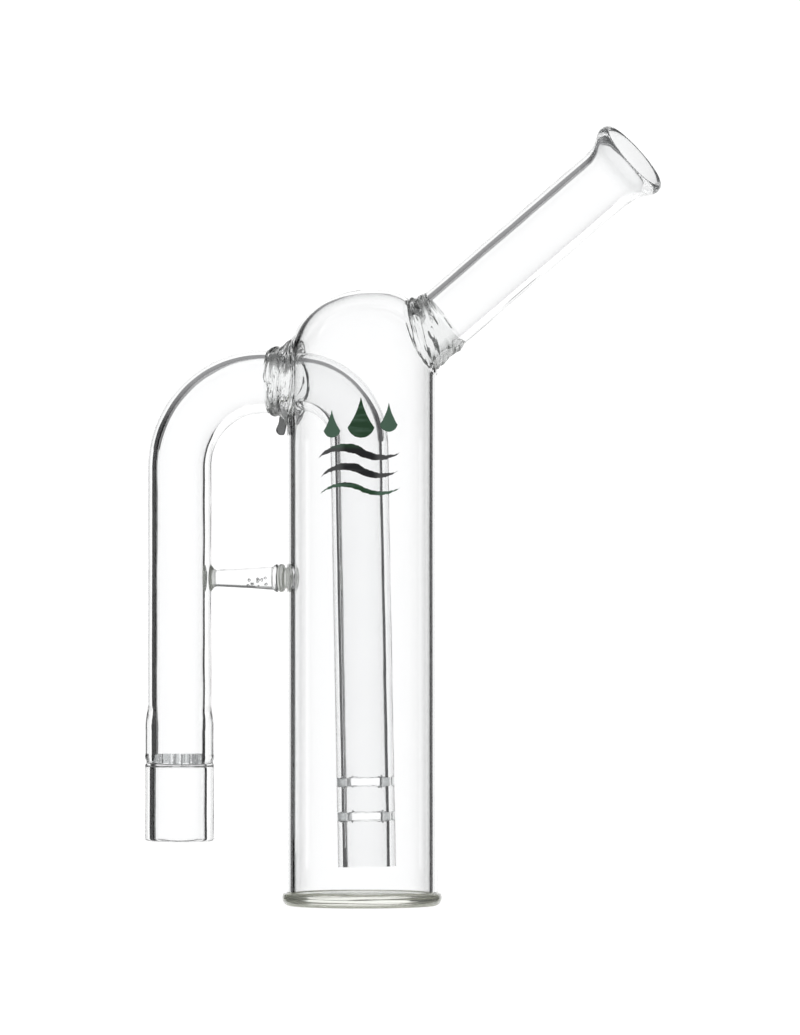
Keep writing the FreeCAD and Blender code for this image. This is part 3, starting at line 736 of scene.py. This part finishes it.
def foot_shape(radius, angle, z):
    uneven = radius * (1 + 0.0035 * ring_wave(21, angle, 3)) \
        + 0.05 * wobble(22, angle, z) * unit((radius - 14) / 6)
    wave = 0.10 * ring_wave(23, angle, 3) * unit((z - 1.0) / 2.5) \
        * unit((radius - 8) / 12) * np.where(radius < 19.7, 0.35, 1.0)
    return polar(uneven, angle, z + wave)


foot = lathe("foot_glass_disc", foot_profile, 256, foot_shape, SOFT_SHARP)
dress(foot, FOOT, "foot_disc")

# (radius, height above the chamber's lower end)
BEAD = [(20.5, 0.02), (20.28, 0.12), (20.1, 0.24), (19.97, 0.36)]
bead_profile = [(19.4, BASE_Z - OVER), (20.5, BASE_Z - OVER)]
bead_profile += curve([(radius, BASE_Z + z) for radius, z in BEAD], 6)
bead_profile += [(19.4, BASE_Z + 0.22)]


def bead_shape(radius, angle, z):
    return polar(radius + 0.03 * ring_wave(31, angle, 6), angle,
                 z + 0.05 * ring_wave(32, angle, 5) * unit((z - BASE_Z) / 0.5))


bead = lathe("foot_weld_glass_bead", bead_profile, 256, bead_shape, 70)
dress(bead, FOOT, "foot_weld_bead")


# -------------------------------------------------------------- mouthpiece
def straight_wall(radius, low, high, step):
    return line([(radius, low), (radius, high)], step)


def mouth_shape(radius, angle, z):
    calm = unit((z - MOUTH_START) / 3.0) * unit((LIP_START - z) / 3.0)
    uneven = 0.035 * wobble(41, angle, z / 7.0) + 0.03 * np.sin(z / 5.0 + angle)
    return polar(radius + calm * uneven, angle, z)


mouth = tube("mouthpiece_glass_tube",
             straight_wall(MOUTH_R, MOUTH_START, LIP_START, 1.6),
             straight_wall(MOUTH_RI, MOUTH_START, LIP_START, 1.6), mouth_shape)
dress(moved(mouth, MOUTH_FRAME), CLEAR, "mouthpiece_tube")

# (radius, height): up the outside, over the flared edge and down the inside
lip_profile = [(MOUTH_RI, LIP_START)] + curve([
    (MOUTH_R, LIP_START), (8.55, 58.1), (8.85, 60.5), (9.55, 62.8), (10.4, 64.4),
    (11.0, 65.5), (11.2, 66.5), (10.95, 67.6), (10.2, 68.25), (9.4, 68.0), (8.85, 67.0),
    (8.4, 65.4), (7.7, 63.1), (7.0, 60.7), (6.55, 58.3), (MOUTH_RI, LIP_START)], 7)


def lip_shape(radius, angle, z):
    calm = unit((z - LIP_START) / 4.0)
    uneven = radius + calm * 0.09 * ring_wave(51, angle, 4)
    return polar(uneven, angle, z + 0.14 * calm * ring_wave(52, angle, 3)
                 + 0.15 * radius * np.sin(angle) * unit((z - 57.0) / 8.0))


lip = lathe("mouthpiece_flared_lip", lip_profile, ROUND, lip_shape, SOFT_SHARP, skip=(0,))
dress(moved(lip, MOUTH_FRAME), LIP, "mouthpiece_lip")

mouth_collar = collar(
    "mouthpiece_weld_glass", MOUTH_FRAME, mouth_foot,
    [(0.0, 0.0, 8.9), (0.10, 0.35, 8.9), (0.28, 0.9, 8.8), (0.45, 1.0, 8.7),
     (0.62, 1.0, 8.75), (0.8, 1.0, 8.95), (0.93, 1.0, 8.6), (1.0, 1.0, MOUTH_R)],
    bore=MOUTH_RI, throat=MOUTH_RI, top=MOUTH_START, bottom=-18.0, seeds=(61, 62, 63),
    wrinkle=0.5)
dress(mouth_collar, WELD, "mouthpiece_weld_collar")

inlet_collar = collar(
    "inlet_weld_glass", INLET_FRAME, inlet_foot,
    [(0.0, 0.0, 9.6), (0.12, 0.25, 9.6), (0.32, 0.8, 9.4), (0.5, 1.0, 9.1),
     (0.66, 1.0, 9.3), (0.82, 1.0, 8.9), (0.93, 1.0, 8.6), (1.0, 1.0, LEG_R)],
    bore=LEG_RI, throat=STEM_R, top=-(LEG_X + BEND_R + BEND_TAIL), bottom=8.0,
    seeds=(71, 72, 73), wrinkle=0.7, inner_end=(-RING_SEAL_X, STEM_RI))
dress(inlet_collar, WELD, "inlet_weld_collar")

# ------------------------------------------------------- inlet leg and bend
leg_straight = (INLET_Z - BEND_R) - LEG_Z
leg_bent = BEND_R * math.pi / 2


def leg_calm(distance):
    return unit(distance / 3.0) * unit((leg_straight + leg_bent + 1.0 - distance) / 3)


leg_plain = bent_wall(LEG_R, 0.012, 81, leg_straight, leg_bent, leg_calm, 8.0)
leg_inner = bent_wall(LEG_RI, 0.016, 82, leg_straight, leg_bent, leg_calm, 8.0)


def leg_outer(distance, angle):
    radius = leg_plain(distance, angle) + leg_calm(distance) * 0.025 * math.sin(distance / 7.0)
    if distance < leg_straight:
        # where the bridge rod was fused on, the wall is drawn out a little
        near = math.exp(-((LEG_Z + distance - BRIDGE_Z) / 2.6) ** 2)
        aside = np.minimum(angle, 2 * math.pi - angle)
        radius = radius + 0.35 * near * np.exp(-(aside / 0.34) ** 2)
    return radius


path, tangents = bent_path(LEG_X, LEG_Z, INLET_Z - BEND_R, BEND_R, math.pi, math.pi / 2,
                           line_steps=36, arc_steps=40, tail=(BEND_TAIL / 2, BEND_TAIL))
leg = sweep("inlet_leg_glass_bend", path, tangents, leg_outer, leg_inner)
dress(leg, CLEAR, "inlet_bend_tube")


def soft(seed, much, length):
    """Uneven wall that is true to size at both ends."""
    def shape(radius, angle, z):
        calm = unit(z / 1.0) * unit((length - z) / 1.0)
        uneven = wobble(seed, angle, z / 3.0) + 0.5 * ring_wave(seed + 1, angle, 4)
        return polar(radius + calm * much * uneven, angle, z)
    return shape


seam_long = LEG_Z - SEAM_Z
seam = tube("leg_seam_glass",
            curve([(LOWER_R, 0.0), (9.2, 1.0), (9.1, 2.2), (8.85, 3.9), (8.62, 5.3),
                   (LEG_R, seam_long)], 6),
            line([(SEAT_R, 0.0), (LEG_RI, seam_long)], 1.0),
            soft(91, 0.05, seam_long))
dress(about_leg(seam, SEAM_Z), CLEAR, "leg_weld_seam")

lower_long = SEAM_Z - SCREEN_TOP
lower = tube("leg_lower_glass_tube", straight_wall(LOWER_R, 0, lower_long, 1.2),
             straight_wall(SEAT_R, 0, lower_long, 1.2), soft(93, 0.02, lower_long))
dress(about_leg(lower, SCREEN_TOP), CLEAR, "leg_lower_tube")

weld_ring = tube("screen_weld_glass_ring",
                 curve([(TIP_R, 0.0), (9.0, 0.5), (8.9, 1.0), (9.15, 1.6), (9.3, 2.3),
                        (9.2, 2.8), (LOWER_R, SCREEN_THICK)], 5),
                 straight_wall(SEAT_R, 0.0, SCREEN_THICK, 0.8),
                 soft(95, 0.09, SCREEN_THICK), SOFT_SHARP)
dress(about_leg(weld_ring, SCREEN_Z), CLEAR, "screen_weld_ring")

tip_long = SCREEN_Z - TIP_Z
TIP_ROUND = 0.8      # radius of the tip's rounded end
tip_outer = arc(7.8, TIP_ROUND, TIP_ROUND, 180, 270, 7)
tip_outer += arc(TIP_R - TIP_ROUND, TIP_ROUND, TIP_ROUND, -90, 0, 7)
tip_outer += straight_wall(TIP_R, TIP_ROUND, tip_long, 1.2)[1:]
tip_inner = straight_wall(TIP_RI, TIP_ROUND, 19.5, 1.2)
tip_inner += [(6.7, 19.85), (6.5, 20.1), (SEAT_R, tip_long)]


def tip_shape(radius, angle, z):
    calm = np.clip(z / 2.0, 0.3, 1) * unit((tip_long - z) / 2.0)
    return polar(radius + calm * 0.025 * wobble(97, angle, z / 4.0), angle,
                 z + 0.10 * ring_wave(98, angle, 3) * unit((3.0 - z) / 3.0))


tip = tube("heater_tip_glass_tube", tip_outer, tip_inner, tip_shape, low=True)
dress(about_leg(tip, TIP_Z), CLEAR, "heater_tip_tube")

# screen: six holes round one in the middle
HOLE_R, HOLE_CIRCLE_R = 1.15, 4.4
disc_r = SEAT_R - 0.01
screen = lathe("screen_glass_disc",
               line([(0, 0.0), (disc_r, 0.0)], 0.7)
               + line([(disc_r, SCREEN_THICK), (0, SCREEN_THICK)], 0.7), 160)
for k in range(7):
    angle = k * math.pi / 3
    reach = 0 if k == 6 else HOLE_CIRCLE_R
    cutter = lathe("cut_hole_%d" % k, [(0, -1), (HOLE_R, -1), (HOLE_R, 5), (0, 5)], 40)
    moved(cutter, place(reach * math.cos(angle), reach * math.sin(angle), 0))
    boolean(screen, cutter)
dress(about_leg(screen, SCREEN_Z), SCREEN, "screen_disc")

# ---------------------------------------------------- ring seal, downstem
SEAL_LONG = 3.179
ring_seal = tube("ring_seal_glass", straight_wall(STEM_R, 2.6, SEAL_LONG, 0.3),
                 straight_wall(STEM_RI, 0.0, SEAL_LONG, 0.5))
moved(ring_seal, place(RING_SEAL_X, 0, INLET_Z) @ about_y(math.pi / 2))
dress(ring_seal, CLEAR, "ring_seal")


def stem_calm(distance):
    return unit(distance / 2.0) * unit((136 - distance) / 4.0)


def stem_wall(radius, oval, seed):
    return bent_wall(radius, oval, seed, STEM_LONG, STEM_BEND * STEM_TURN, stem_calm, 9.0)


path, tangents = bent_path(0.0, 0.0, STEM_LONG, STEM_BEND, 0.0, STEM_TURN,
                           line_steps=56, arc_steps=36)
stem = sweep("downstem_glass_tube", path, tangents, stem_wall(STEM_R, 0.015, 101),
             stem_wall(STEM_RI, 0.02, 102), low=True)
stem.data.materials.append(CLEAR)

SAW_REACH = 12.0                 # the saw block ends this far from the axis
SLOT_Y = 3.1                     # where a slot starts beside the axis
SLOT_HIGH, SLOT_ROWS = 2.2, (12.2, 21.4)


def saw_cut(name, y_low, y_high, z_low, z_high, seed):
    """A slightly uneven slab: what a hand-held saw takes out."""
    nx, ny, nz = 56, 22, 6
    grid, verts, faces = {}, [], []

    def vertex(i, j, k):
        key = (i, j, k)
        if key not in grid:
            x = -SAW_REACH + 2 * SAW_REACH * i / nx
            y = y_low + (y_high - y_low) * j / ny
            z = z_low + (z_high - z_low) * k / nz
            edge = 0.09 * wobble(seed, x * 0.9, y * 0.9, 1.6)
            # chips break out beside the slot's ends
            chip = math.exp(-((abs(x) - 4.9) / 0.9) ** 2)
            edge += 0.75 * chip * max(0.0, float(wobble(seed + 2, x * 3.1, y * 2.3, 1.4))) \
                * (1 if k == nz else -1)
            z += edge * (1 if k in (0, nz) else 0.4)
            if j in (0, ny):
                y += 0.10 * wobble(seed + 5, x * 0.6, z * 1.1, 1.3)
            grid[key] = len(verts)
            verts.append((x, y, z))
        return grid[key]

    def quad(*corners):
        faces.append([vertex(*corner) for corner in corners])

    for i in range(nx):
        for j in range(ny):
            quad((i, j, 0), (i, j + 1, 0), (i + 1, j + 1, 0), (i + 1, j, 0))
            quad((i, j, nz), (i + 1, j, nz), (i + 1, j + 1, nz), (i, j + 1, nz))
    for i in range(nx):
        for k in range(nz):
            quad((i, 0, k), (i + 1, 0, k), (i + 1, 0, k + 1), (i, 0, k + 1))
            quad((i, ny, k), (i, ny, k + 1), (i + 1, ny, k + 1), (i + 1, ny, k))
    for j in range(ny):
        for k in range(nz):
            quad((0, j, k), (0, j, k + 1), (0, j + 1, k + 1), (0, j + 1, k))
            quad((nx, j, k), (nx, j + 1, k), (nx, j + 1, k + 1), (nx, j, k + 1))
    ob = make_object(name, verts, faces, 30)
    ob.data.materials.append(FROST)
    return ob


for row, z in enumerate(SLOT_ROWS):
    for side, (y_low, y_high) in enumerate(((SLOT_Y, SAW_REACH), (-SAW_REACH, -SLOT_Y))):
        boolean(stem, saw_cut("cut_slot_%d_%d" % (row, side), y_low, y_high,
                              z, z + SLOT_HIGH, 111 + 7 * row + 3 * side))
moved(stem, place(STEM_X, 0, STEM_Z) @ about_y(-STEM_TILT))
dress(stem, CLEAR, "downstem_tube")

# ----------------------------------------------------------------- bridge
# Outlines are (radius, distance towards +X); their axis is turned onto X.
PAD_X = LEG_X + LEG_R


def on_bridge(ob, x):
    return moved(ob, place(x, 0, BRIDGE_Z) @ about_y(math.pi / 2))


def saddle_drop(radius, angle, tube_radius):
    """How far a tube's wall falls away beside the bridge's axis."""
    return tube_radius - np.sqrt(np.clip(tube_radius ** 2 - (radius * np.sin(angle)) ** 2,
                                         1, None))


def pad_shape(radius, angle, z):
    fade = unit((1.3 - z) / 1.7)
    slim = 1 - 0.5 * fade
    x, y, _ = polar(radius * (1 + 0.05 * ring_wave(121, angle, 4) * fade), angle, z)
    return x, y * slim, z - saddle_drop(radius, angle, LEG_R) * fade * slim ** 2


def rod_shape(radius, angle, z):
    return polar(radius * (1 + 0.02 * wobble(131, angle, z / 3.0)), angle, z)


def maria_shape(radius, angle, z):
    return polar(radius, angle, z + 0.05 * wobble(151, radius, angle))


PLUG_HIGH = 0.92


def plug_shape(radius, angle, z):
    return polar(radius, angle, z + saddle_drop(radius, angle, BODY_R) * unit(z / PLUG_HIGH))


def add_bubbles(ob, bubbles):
    """Trapped air: small closed shells whose normals face inwards. bubbles:
    (x, y, z, radius, stretch along z)."""
    old = ob.data
    verts = [tuple(v.co / MM) for v in old.vertices]
    faces = [tuple(polygon.vertices) for polygon in old.polygons]
    rows, columns = 9, 14
    for x, y, z, radius, stretch in bubbles:
        rings = []
        for i in range(rows + 1):
            down = math.pi * i / rows
            ring = []
            for j in range(columns):
                around = 2 * math.pi * j / columns
                if i in (0, rows) and j > 0:
                    ring.append(ring[0])
                    continue
                ring.append(len(verts))
                verts.append((x + radius * math.sin(down) * math.cos(around),
                              y + radius * math.sin(down) * math.sin(around),
                              z + radius * stretch * math.cos(down)))
            rings.append(ring)
        for upper, lower_ring in zip(rings, rings[1:]):
            for j in range(columns):
                m = (j + 1) % columns
                faces.append(tuple(dict.fromkeys(
                    (upper[j], upper[m], lower_ring[m], lower_ring[j]))))
    ob.data = new_mesh(old.name + "_b", verts, faces)
    bpy.data.meshes.remove(old)
    finish_shading(ob, SOFT_SHARP)


pad = lathe("bridge_stem_glass_pad",
            [(0, -0.05)] + curve([(3.7, -0.05), (3.3, 0.3), (2.9, 0.6), (2.55, 0.9),
                                  (2.35, PAD_HIGH)], 5) + [(0, PAD_HIGH + OVER)],
            SMALL_ROUND, pad_shape, SOFT_SHARP)
dress(on_bridge(pad, PAD_X), SEAL, "bridge_stem_pad")

rod = lathe("bridge_glass_rod",
            [(0, -OVER)] + curve([(2.3, 0.0), (2.25, 1.2), (2.42, 5.0), (2.7, 10.0),
                                  (3.0, 14.6), (3.12, 15.7), (3.55, 16.3),
                                  (3.72, 16.75), (3.55, 17.1)], 6) + [(0, 17.2)],
            SMALL_ROUND, rod_shape, SOFT_SHARP)
rng = np.random.default_rng(141)
# ranges of x, y, z, radius and stretch
BUBBLE_RANGES = ((0.0, 2.0), (-1.3, 1.3), (8.6, 14.2), (0.12, 0.36), (1.0, 1.5))
add_bubbles(rod, [[rng.uniform(*span) for span in BUBBLE_RANGES] for _ in range(18)])
dress(on_bridge(rod, PAD_X + PAD_HIGH), ROD, "bridge_rod")

maria = lathe("bridge_glass_maria",
              [(0, 0.0)] + curve([(3.1, 0.02), (3.55, 0.25), (3.78, 0.75), (3.6, 1.3),
                                  (3.1, 1.66)], 6) + [(0, 1.7)],
              SMALL_ROUND, maria_shape, SOFT_SHARP)
dress(on_bridge(maria, -22.62), SEAL, "bridge_body_maria")

plug = lathe("bridge_wall_glass_seal",
             [(0, -0.05)] + curve([(2.75, 0.0), (2.7, 0.35), (2.85, 0.7),
                                   (3.0, PLUG_HIGH)], 5) + [(0, PLUG_HIGH)],
             SMALL_ROUND, plug_shape, SOFT_SHARP)
dress(on_bridge(plug, -21.0), SEAL, "bridge_body_seal")


# --------------------------------------------------------------- weld drip
def drip_shape(radius, angle, z):
    """Narrow in X, wide in Y, and a little bent."""
    x, y, _ = polar(radius, angle, z)
    return (x * 0.74 + 0.2 * np.sin(z * 1.3), y * 1.1,
            z * 0.85 + 0.1 * np.sin(3 * angle) * radius)


drip = lathe("weld_glass_drip",
             curve([(0, -2.7), (0.9, -2.5), (1.62, -1.5), (1.75, -0.3), (1.45, 1.0),
                    (1.0, 2.2), (0.6, 3.0), (0, 3.2)], 6), 72, drip_shape, 80)
moved(drip, place(-21.7, -0.6, 127.4))
dress(drip, SMOKE, "weld_drip")

# ------------------------------------------------------------ printed mark
# Drawn flat, x to the right and y up, and wrapped round the chamber's front.
MARK_TURN, MARK_Z, MARK_THICK = math.radians(7.6), 121.2, 0.06
# middle x and y, half width before narrowing, height of the point, seed
PEAKS = ((0.6, 5.4, 3.7, 8.2, 201), (-7.3, 4.6, 2.5, 5.6, 203), (8.1, 6.2, 2.6, 5.9, 205))
# left x, right x, left y, right y, thickness, seed
WAVES = ((-11.4, 11.2, -2.6, -1.2, 2.6, 211), (-10.4, 10.6, -7.4, -6.0, 2.4, 213),
         (-10.8, 11.3, -12.0, -10.4, 1.5, 215))


def arc_run(start, end, radius, side, steps=40):
    """An arc between two points, anticlockwise if side is 1, clockwise if -1."""
    (ax, ay), (bx, by) = start, end
    dx, dy = bx - ax, by - ay
    chord = math.hypot(dx, dy)
    lift = math.sqrt(max(radius * radius - chord * chord / 4, 0))
    centre_x = (ax + bx) / 2 - side * dy / chord * lift
    centre_y = (ay + by) / 2 + side * dx / chord * lift
    first = math.atan2(ay - centre_y, ax - centre_x)
    last = math.atan2(by - centre_y, bx - centre_x)
    while (last - first) * side < 0:
        last += side * 2 * math.pi
    angles = [first + (last - first) * i / steps for i in range(steps + 1)]
    return [(centre_x + radius * math.cos(angle), centre_y + radius * math.sin(angle))
            for angle in angles]


def band(across, lower, upper, seed, rough):
    """Lower and upper edge at each x, with a dry-brush raggedness."""
    low = np.interp(across, *zip(*lower)) + rough * wobble(seed, across, 1.0, 2.1)
    high = np.interp(across, *zip(*upper)) + rough * wobble(seed + 1, across, 2.0, 2.3)
    thin = high < low + 0.03
    middle = (high + low) / 2
    return np.where(thin, middle - 0.015, low), np.where(thin, middle + 0.015, high)


def mark_strip(verts, faces, across, low, high):
    """Adds a closed thin strip between two edges."""
    rows, columns = 7, len(across)
    start = len(verts)
    for radius in (BODY_R + MARK_THICK, BODY_R - 0.005):
        for i in range(columns):
            angle = -math.pi / 2 + MARK_TURN + across[i] / BODY_R
            for k in range(rows):
                height = low[i] + (high[i] - low[i]) * k / (rows - 1)
                verts.append((radius * math.cos(angle), radius * math.sin(angle),
                              MARK_Z + height))

    def out(i, k):
        return start + i * rows + k

    def back(i, k):
        return out(i, k) + columns * rows

    end, top = columns - 1, rows - 1
    for i in range(end):
        for k in range(top):
            faces.append((out(i, k), out(i + 1, k), out(i + 1, k + 1), out(i, k + 1)))
            faces.append((back(i, k), back(i, k + 1), back(i + 1, k + 1), back(i + 1, k)))
        faces.append((out(i, 0), back(i, 0), back(i + 1, 0), out(i + 1, 0)))
        faces.append((out(i, top), out(i + 1, top), back(i + 1, top), back(i, top)))
    for k in range(top):
        faces.append((out(0, k), out(0, k + 1), back(0, k + 1), back(0, k)))
        faces.append((out(end, k), back(end, k), back(end, k + 1), out(end, k + 1)))


verts, faces = [], []
for x, y, radius, high, seed in PEAKS:
    left, right, point = (x - 0.96 * radius, y), (x + 0.96 * radius, y), (x, y + high)
    under = [spot for spot in arc_run(left, right, radius, 1, 60)
             if left[0] <= spot[0] <= right[0]]
    over = arc_run(right, point, 2.6 * high, -1) + arc_run(point, left, 2.6 * high, -1)[1:]
    across = np.linspace(left[0], right[0], 60)
    mark_strip(verts, faces, across, *band(across, under, over[::-1], seed, 0.07))
for x_left, x_right, y_left, y_right, thick, seed in WAVES:
    x, y = (x_left + x_right) / 2, (y_left + y_right) / 2
    radius = 0.95 * (x_right - x_left) / 2
    left, right = (x_left, y_left), (x_right, y_right)
    under = arc_run(left, (x, y), 1.15 * radius, -1) + arc_run((x, y), right, radius, 1)[1:]
    over = arc_run(right, (x, y + thick), 1.15 * radius, -1) \
        + arc_run((x, y + thick), left, radius, 1)[1:]
    across = np.linspace(x_left, x_right, 150)
    mark_strip(verts, faces, across, *band(across, under, over[::-1], seed, 0.13))
mark = make_object("printed_mark", verts, faces, 50)
dress(mark, INK, "printed_decal")


# ------------------------------------------------------------------ stage
def glow(tree, strength):
    return add_node(tree, "Emission", {"Color": (1, 1, 1, 1),
                                       "Strength": strength})["Emission"]


bpy.ops.mesh.primitive_circle_add(vertices=128, radius=0.6, fill_type="NGON",
                                  location=(0, 0, -0.00002))
floor = bpy.context.object
floor.name = "studio_floor"
floor_white = bpy.data.materials.new("studio_white")
tree = clear_tree(floor_white)
matt = add_node(tree, "BsdfDiffuse", {"Color": (0.10, 0.10, 0.10, 1)})["BSDF"]
both = add_node(tree, "AddShader", {0: glow(tree, 0.985), 1: matt})["Shader"]
add_node(tree, "OutputMaterial", {"Surface": both})
floor.data.materials.append(floor_white)
floor.visible_transmission = False
floor.visible_glossy = False

# Narrow white cards behind the glass, seen only through it: x from, x to, z from
CARDS = ((-84.0, -74.0, 12.0), (-33.5, -20.5, 8.0), (12.0, 27.2, 8.0))
CARD_Y, CARD_TOP = 30.0, 125.0
verts = [(x, CARD_Y, z) for x_low, x_high, z_low in CARDS
         for x, z in ((x_low, z_low), (x_high, z_low), (x_high, CARD_TOP), (x_low, CARD_TOP))]
faces = [range(4 * k, 4 * k + 4) for k in range(len(CARDS))]
cards = plain_object("light_cards", verts, faces)
card_white = bpy.data.materials.new("card_white")
tree = clear_tree(card_white)
add_node(tree, "OutputMaterial", {"Surface": glow(tree, 1.13)})
cards.data.materials.append(card_white)
cards.visible_camera = False
cards.visible_diffuse = False
cards.visible_glossy = False
cards.visible_shadow = False


def bright_field(tree):
    """White round the line of sight, dark to the sides, a soft grey beyond.
    It turns with the camera."""
    def calc(operation, *values, clamp=False):
        return math_node(tree, operation, *values, clamp=clamp)

    turned = add_node(tree, "VectorTransform",
                      {"Vector": add_node(tree, "TexCoord")["Generated"]},
                      vector_type="VECTOR", convert_from="WORLD",
                      convert_to="CAMERA")["Vector"]
    sight = add_node(tree, "VectorMath", {0: turned}, operation="NORMALIZE")["Vector"]
    ray = add_node(tree, "SeparateXYZ", {"Vector": sight})
    x, y = ray["X"], ray["Y"]

    # angle from the line of sight, in degrees (camera space looks along +Z here)
    off = calc("MULTIPLY", calc("ARCCOSINE", ray["Z"]), 180 / math.pi)
    squares = calc("ADD", calc("MULTIPLY", x, x), calc("MULTIPLY", y, y))
    flat = calc("MAXIMUM", calc("SQRT", squares), 0.0001)

    def up_share(slope, offset):
        """Clamped line over the ray's upward part."""
        return calc("MULTIPLY_ADD", calc("DIVIDE", y, flat), slope, offset, clamp=True)

    # the light ends sooner on the left than on the right, reaches further above,
    # and below it runs on as a white table top
    to_right = calc("MAXIMUM", calc("DIVIDE", x, flat), 0.0)
    to_down = up_share(-1.35, -0.30)
    upper_right = calc("MULTIPLY", up_share(3.3, -1.2),
                       calc("MULTIPLY", to_right, 3.0, clamp=True))
    to_top = calc("MAXIMUM", up_share(6.67, -5.67), upper_right)
    more = calc("ADD", calc("MULTIPLY", to_down, 42.0), calc("MULTIPLY", to_top, 11.0))
    edge = calc("ADD", calc("MULTIPLY_ADD", to_right, 5.0, 23.5), more)
    past_edge = calc("DIVIDE", calc("SUBTRACT", off, edge), 4.0, clamp=True)
    lit = colour_ramp(tree, past_edge, "EASE", ((0.0, (1, 1, 1)), (1.0, (0, 0, 0))))

    # the room by angle: dark, then grey towards the back
    room = colour_ramp(tree, calc("DIVIDE", off, 180.0), "LINEAR", (
        (0.0, (0.003, 0.0033, 0.0036)), (0.38, (0.004, 0.0043, 0.0046)),
        (0.52, (0.34, 0.34, 0.35)), (1.0, (0.46, 0.46, 0.47))))
    # the room is grey, not black, above the light
    room = mix_colours(tree, up_share(2.6, -0.95), room, (0.27, 0.27, 0.275, 1),
                       blend_type="LIGHTEN")
    colour = mix_colours(tree, lit, room, (1.13, 1.13, 1.13, 1))
    back = add_node(tree, "Background", {"Color": colour})["Background"]
    add_node(tree, "OutputWorld", {"Surface": back})


scene = bpy.context.scene
scene.world = bpy.data.worlds.new("bright_field")
bright_field(clear_tree(scene.world))

# ----------------------------------------------------------------- camera
# Lengths are in metres. The camera stands in front, a little to the right.
AZIMUTH, ELEVATION, DISTANCE = math.radians(10.0), math.radians(-0.7), 2.0
AIM = Vector((0.0102, 0.0, 0.10315))
VIEW_WIDTH = 0.2749              # width of the picture at the aim
SENSOR = 36.0                    # millimetres
away = Vector((math.sin(AZIMUTH) * math.cos(ELEVATION),
               -math.cos(AZIMUTH) * math.cos(ELEVATION), math.sin(ELEVATION)))
camera_data = bpy.data.cameras.new("camera")
camera = bpy.data.objects.new("camera", camera_data)
scene.collection.objects.link(camera)
camera.location = AIM + away * DISTANCE
camera.rotation_mode = "QUATERNION"
camera.rotation_quaternion = (-away).to_track_quat("-Z", "Y")
camera_data.sensor_width = SENSOR
camera_data.lens = SENSOR * DISTANCE / VIEW_WIDTH
camera_data.clip_start, camera_data.clip_end = 0.05, 20.0
scene.camera = camera

scene.view_settings.view_transform = "Standard"
scene.view_settings.look = "None"
scene.cycles.max_bounces = 28
scene.cycles.transmission_bounces = 28
scene.cycles.transparent_max_bounces = 32
scene.cycles.glossy_bounces = 8
scene.cycles.diffuse_bounces = 3
scene.cycles.caustics_reflective = True
scene.cycles.caustics_refractive = True
scene.cycles.sample_clamp_indirect = 4.0
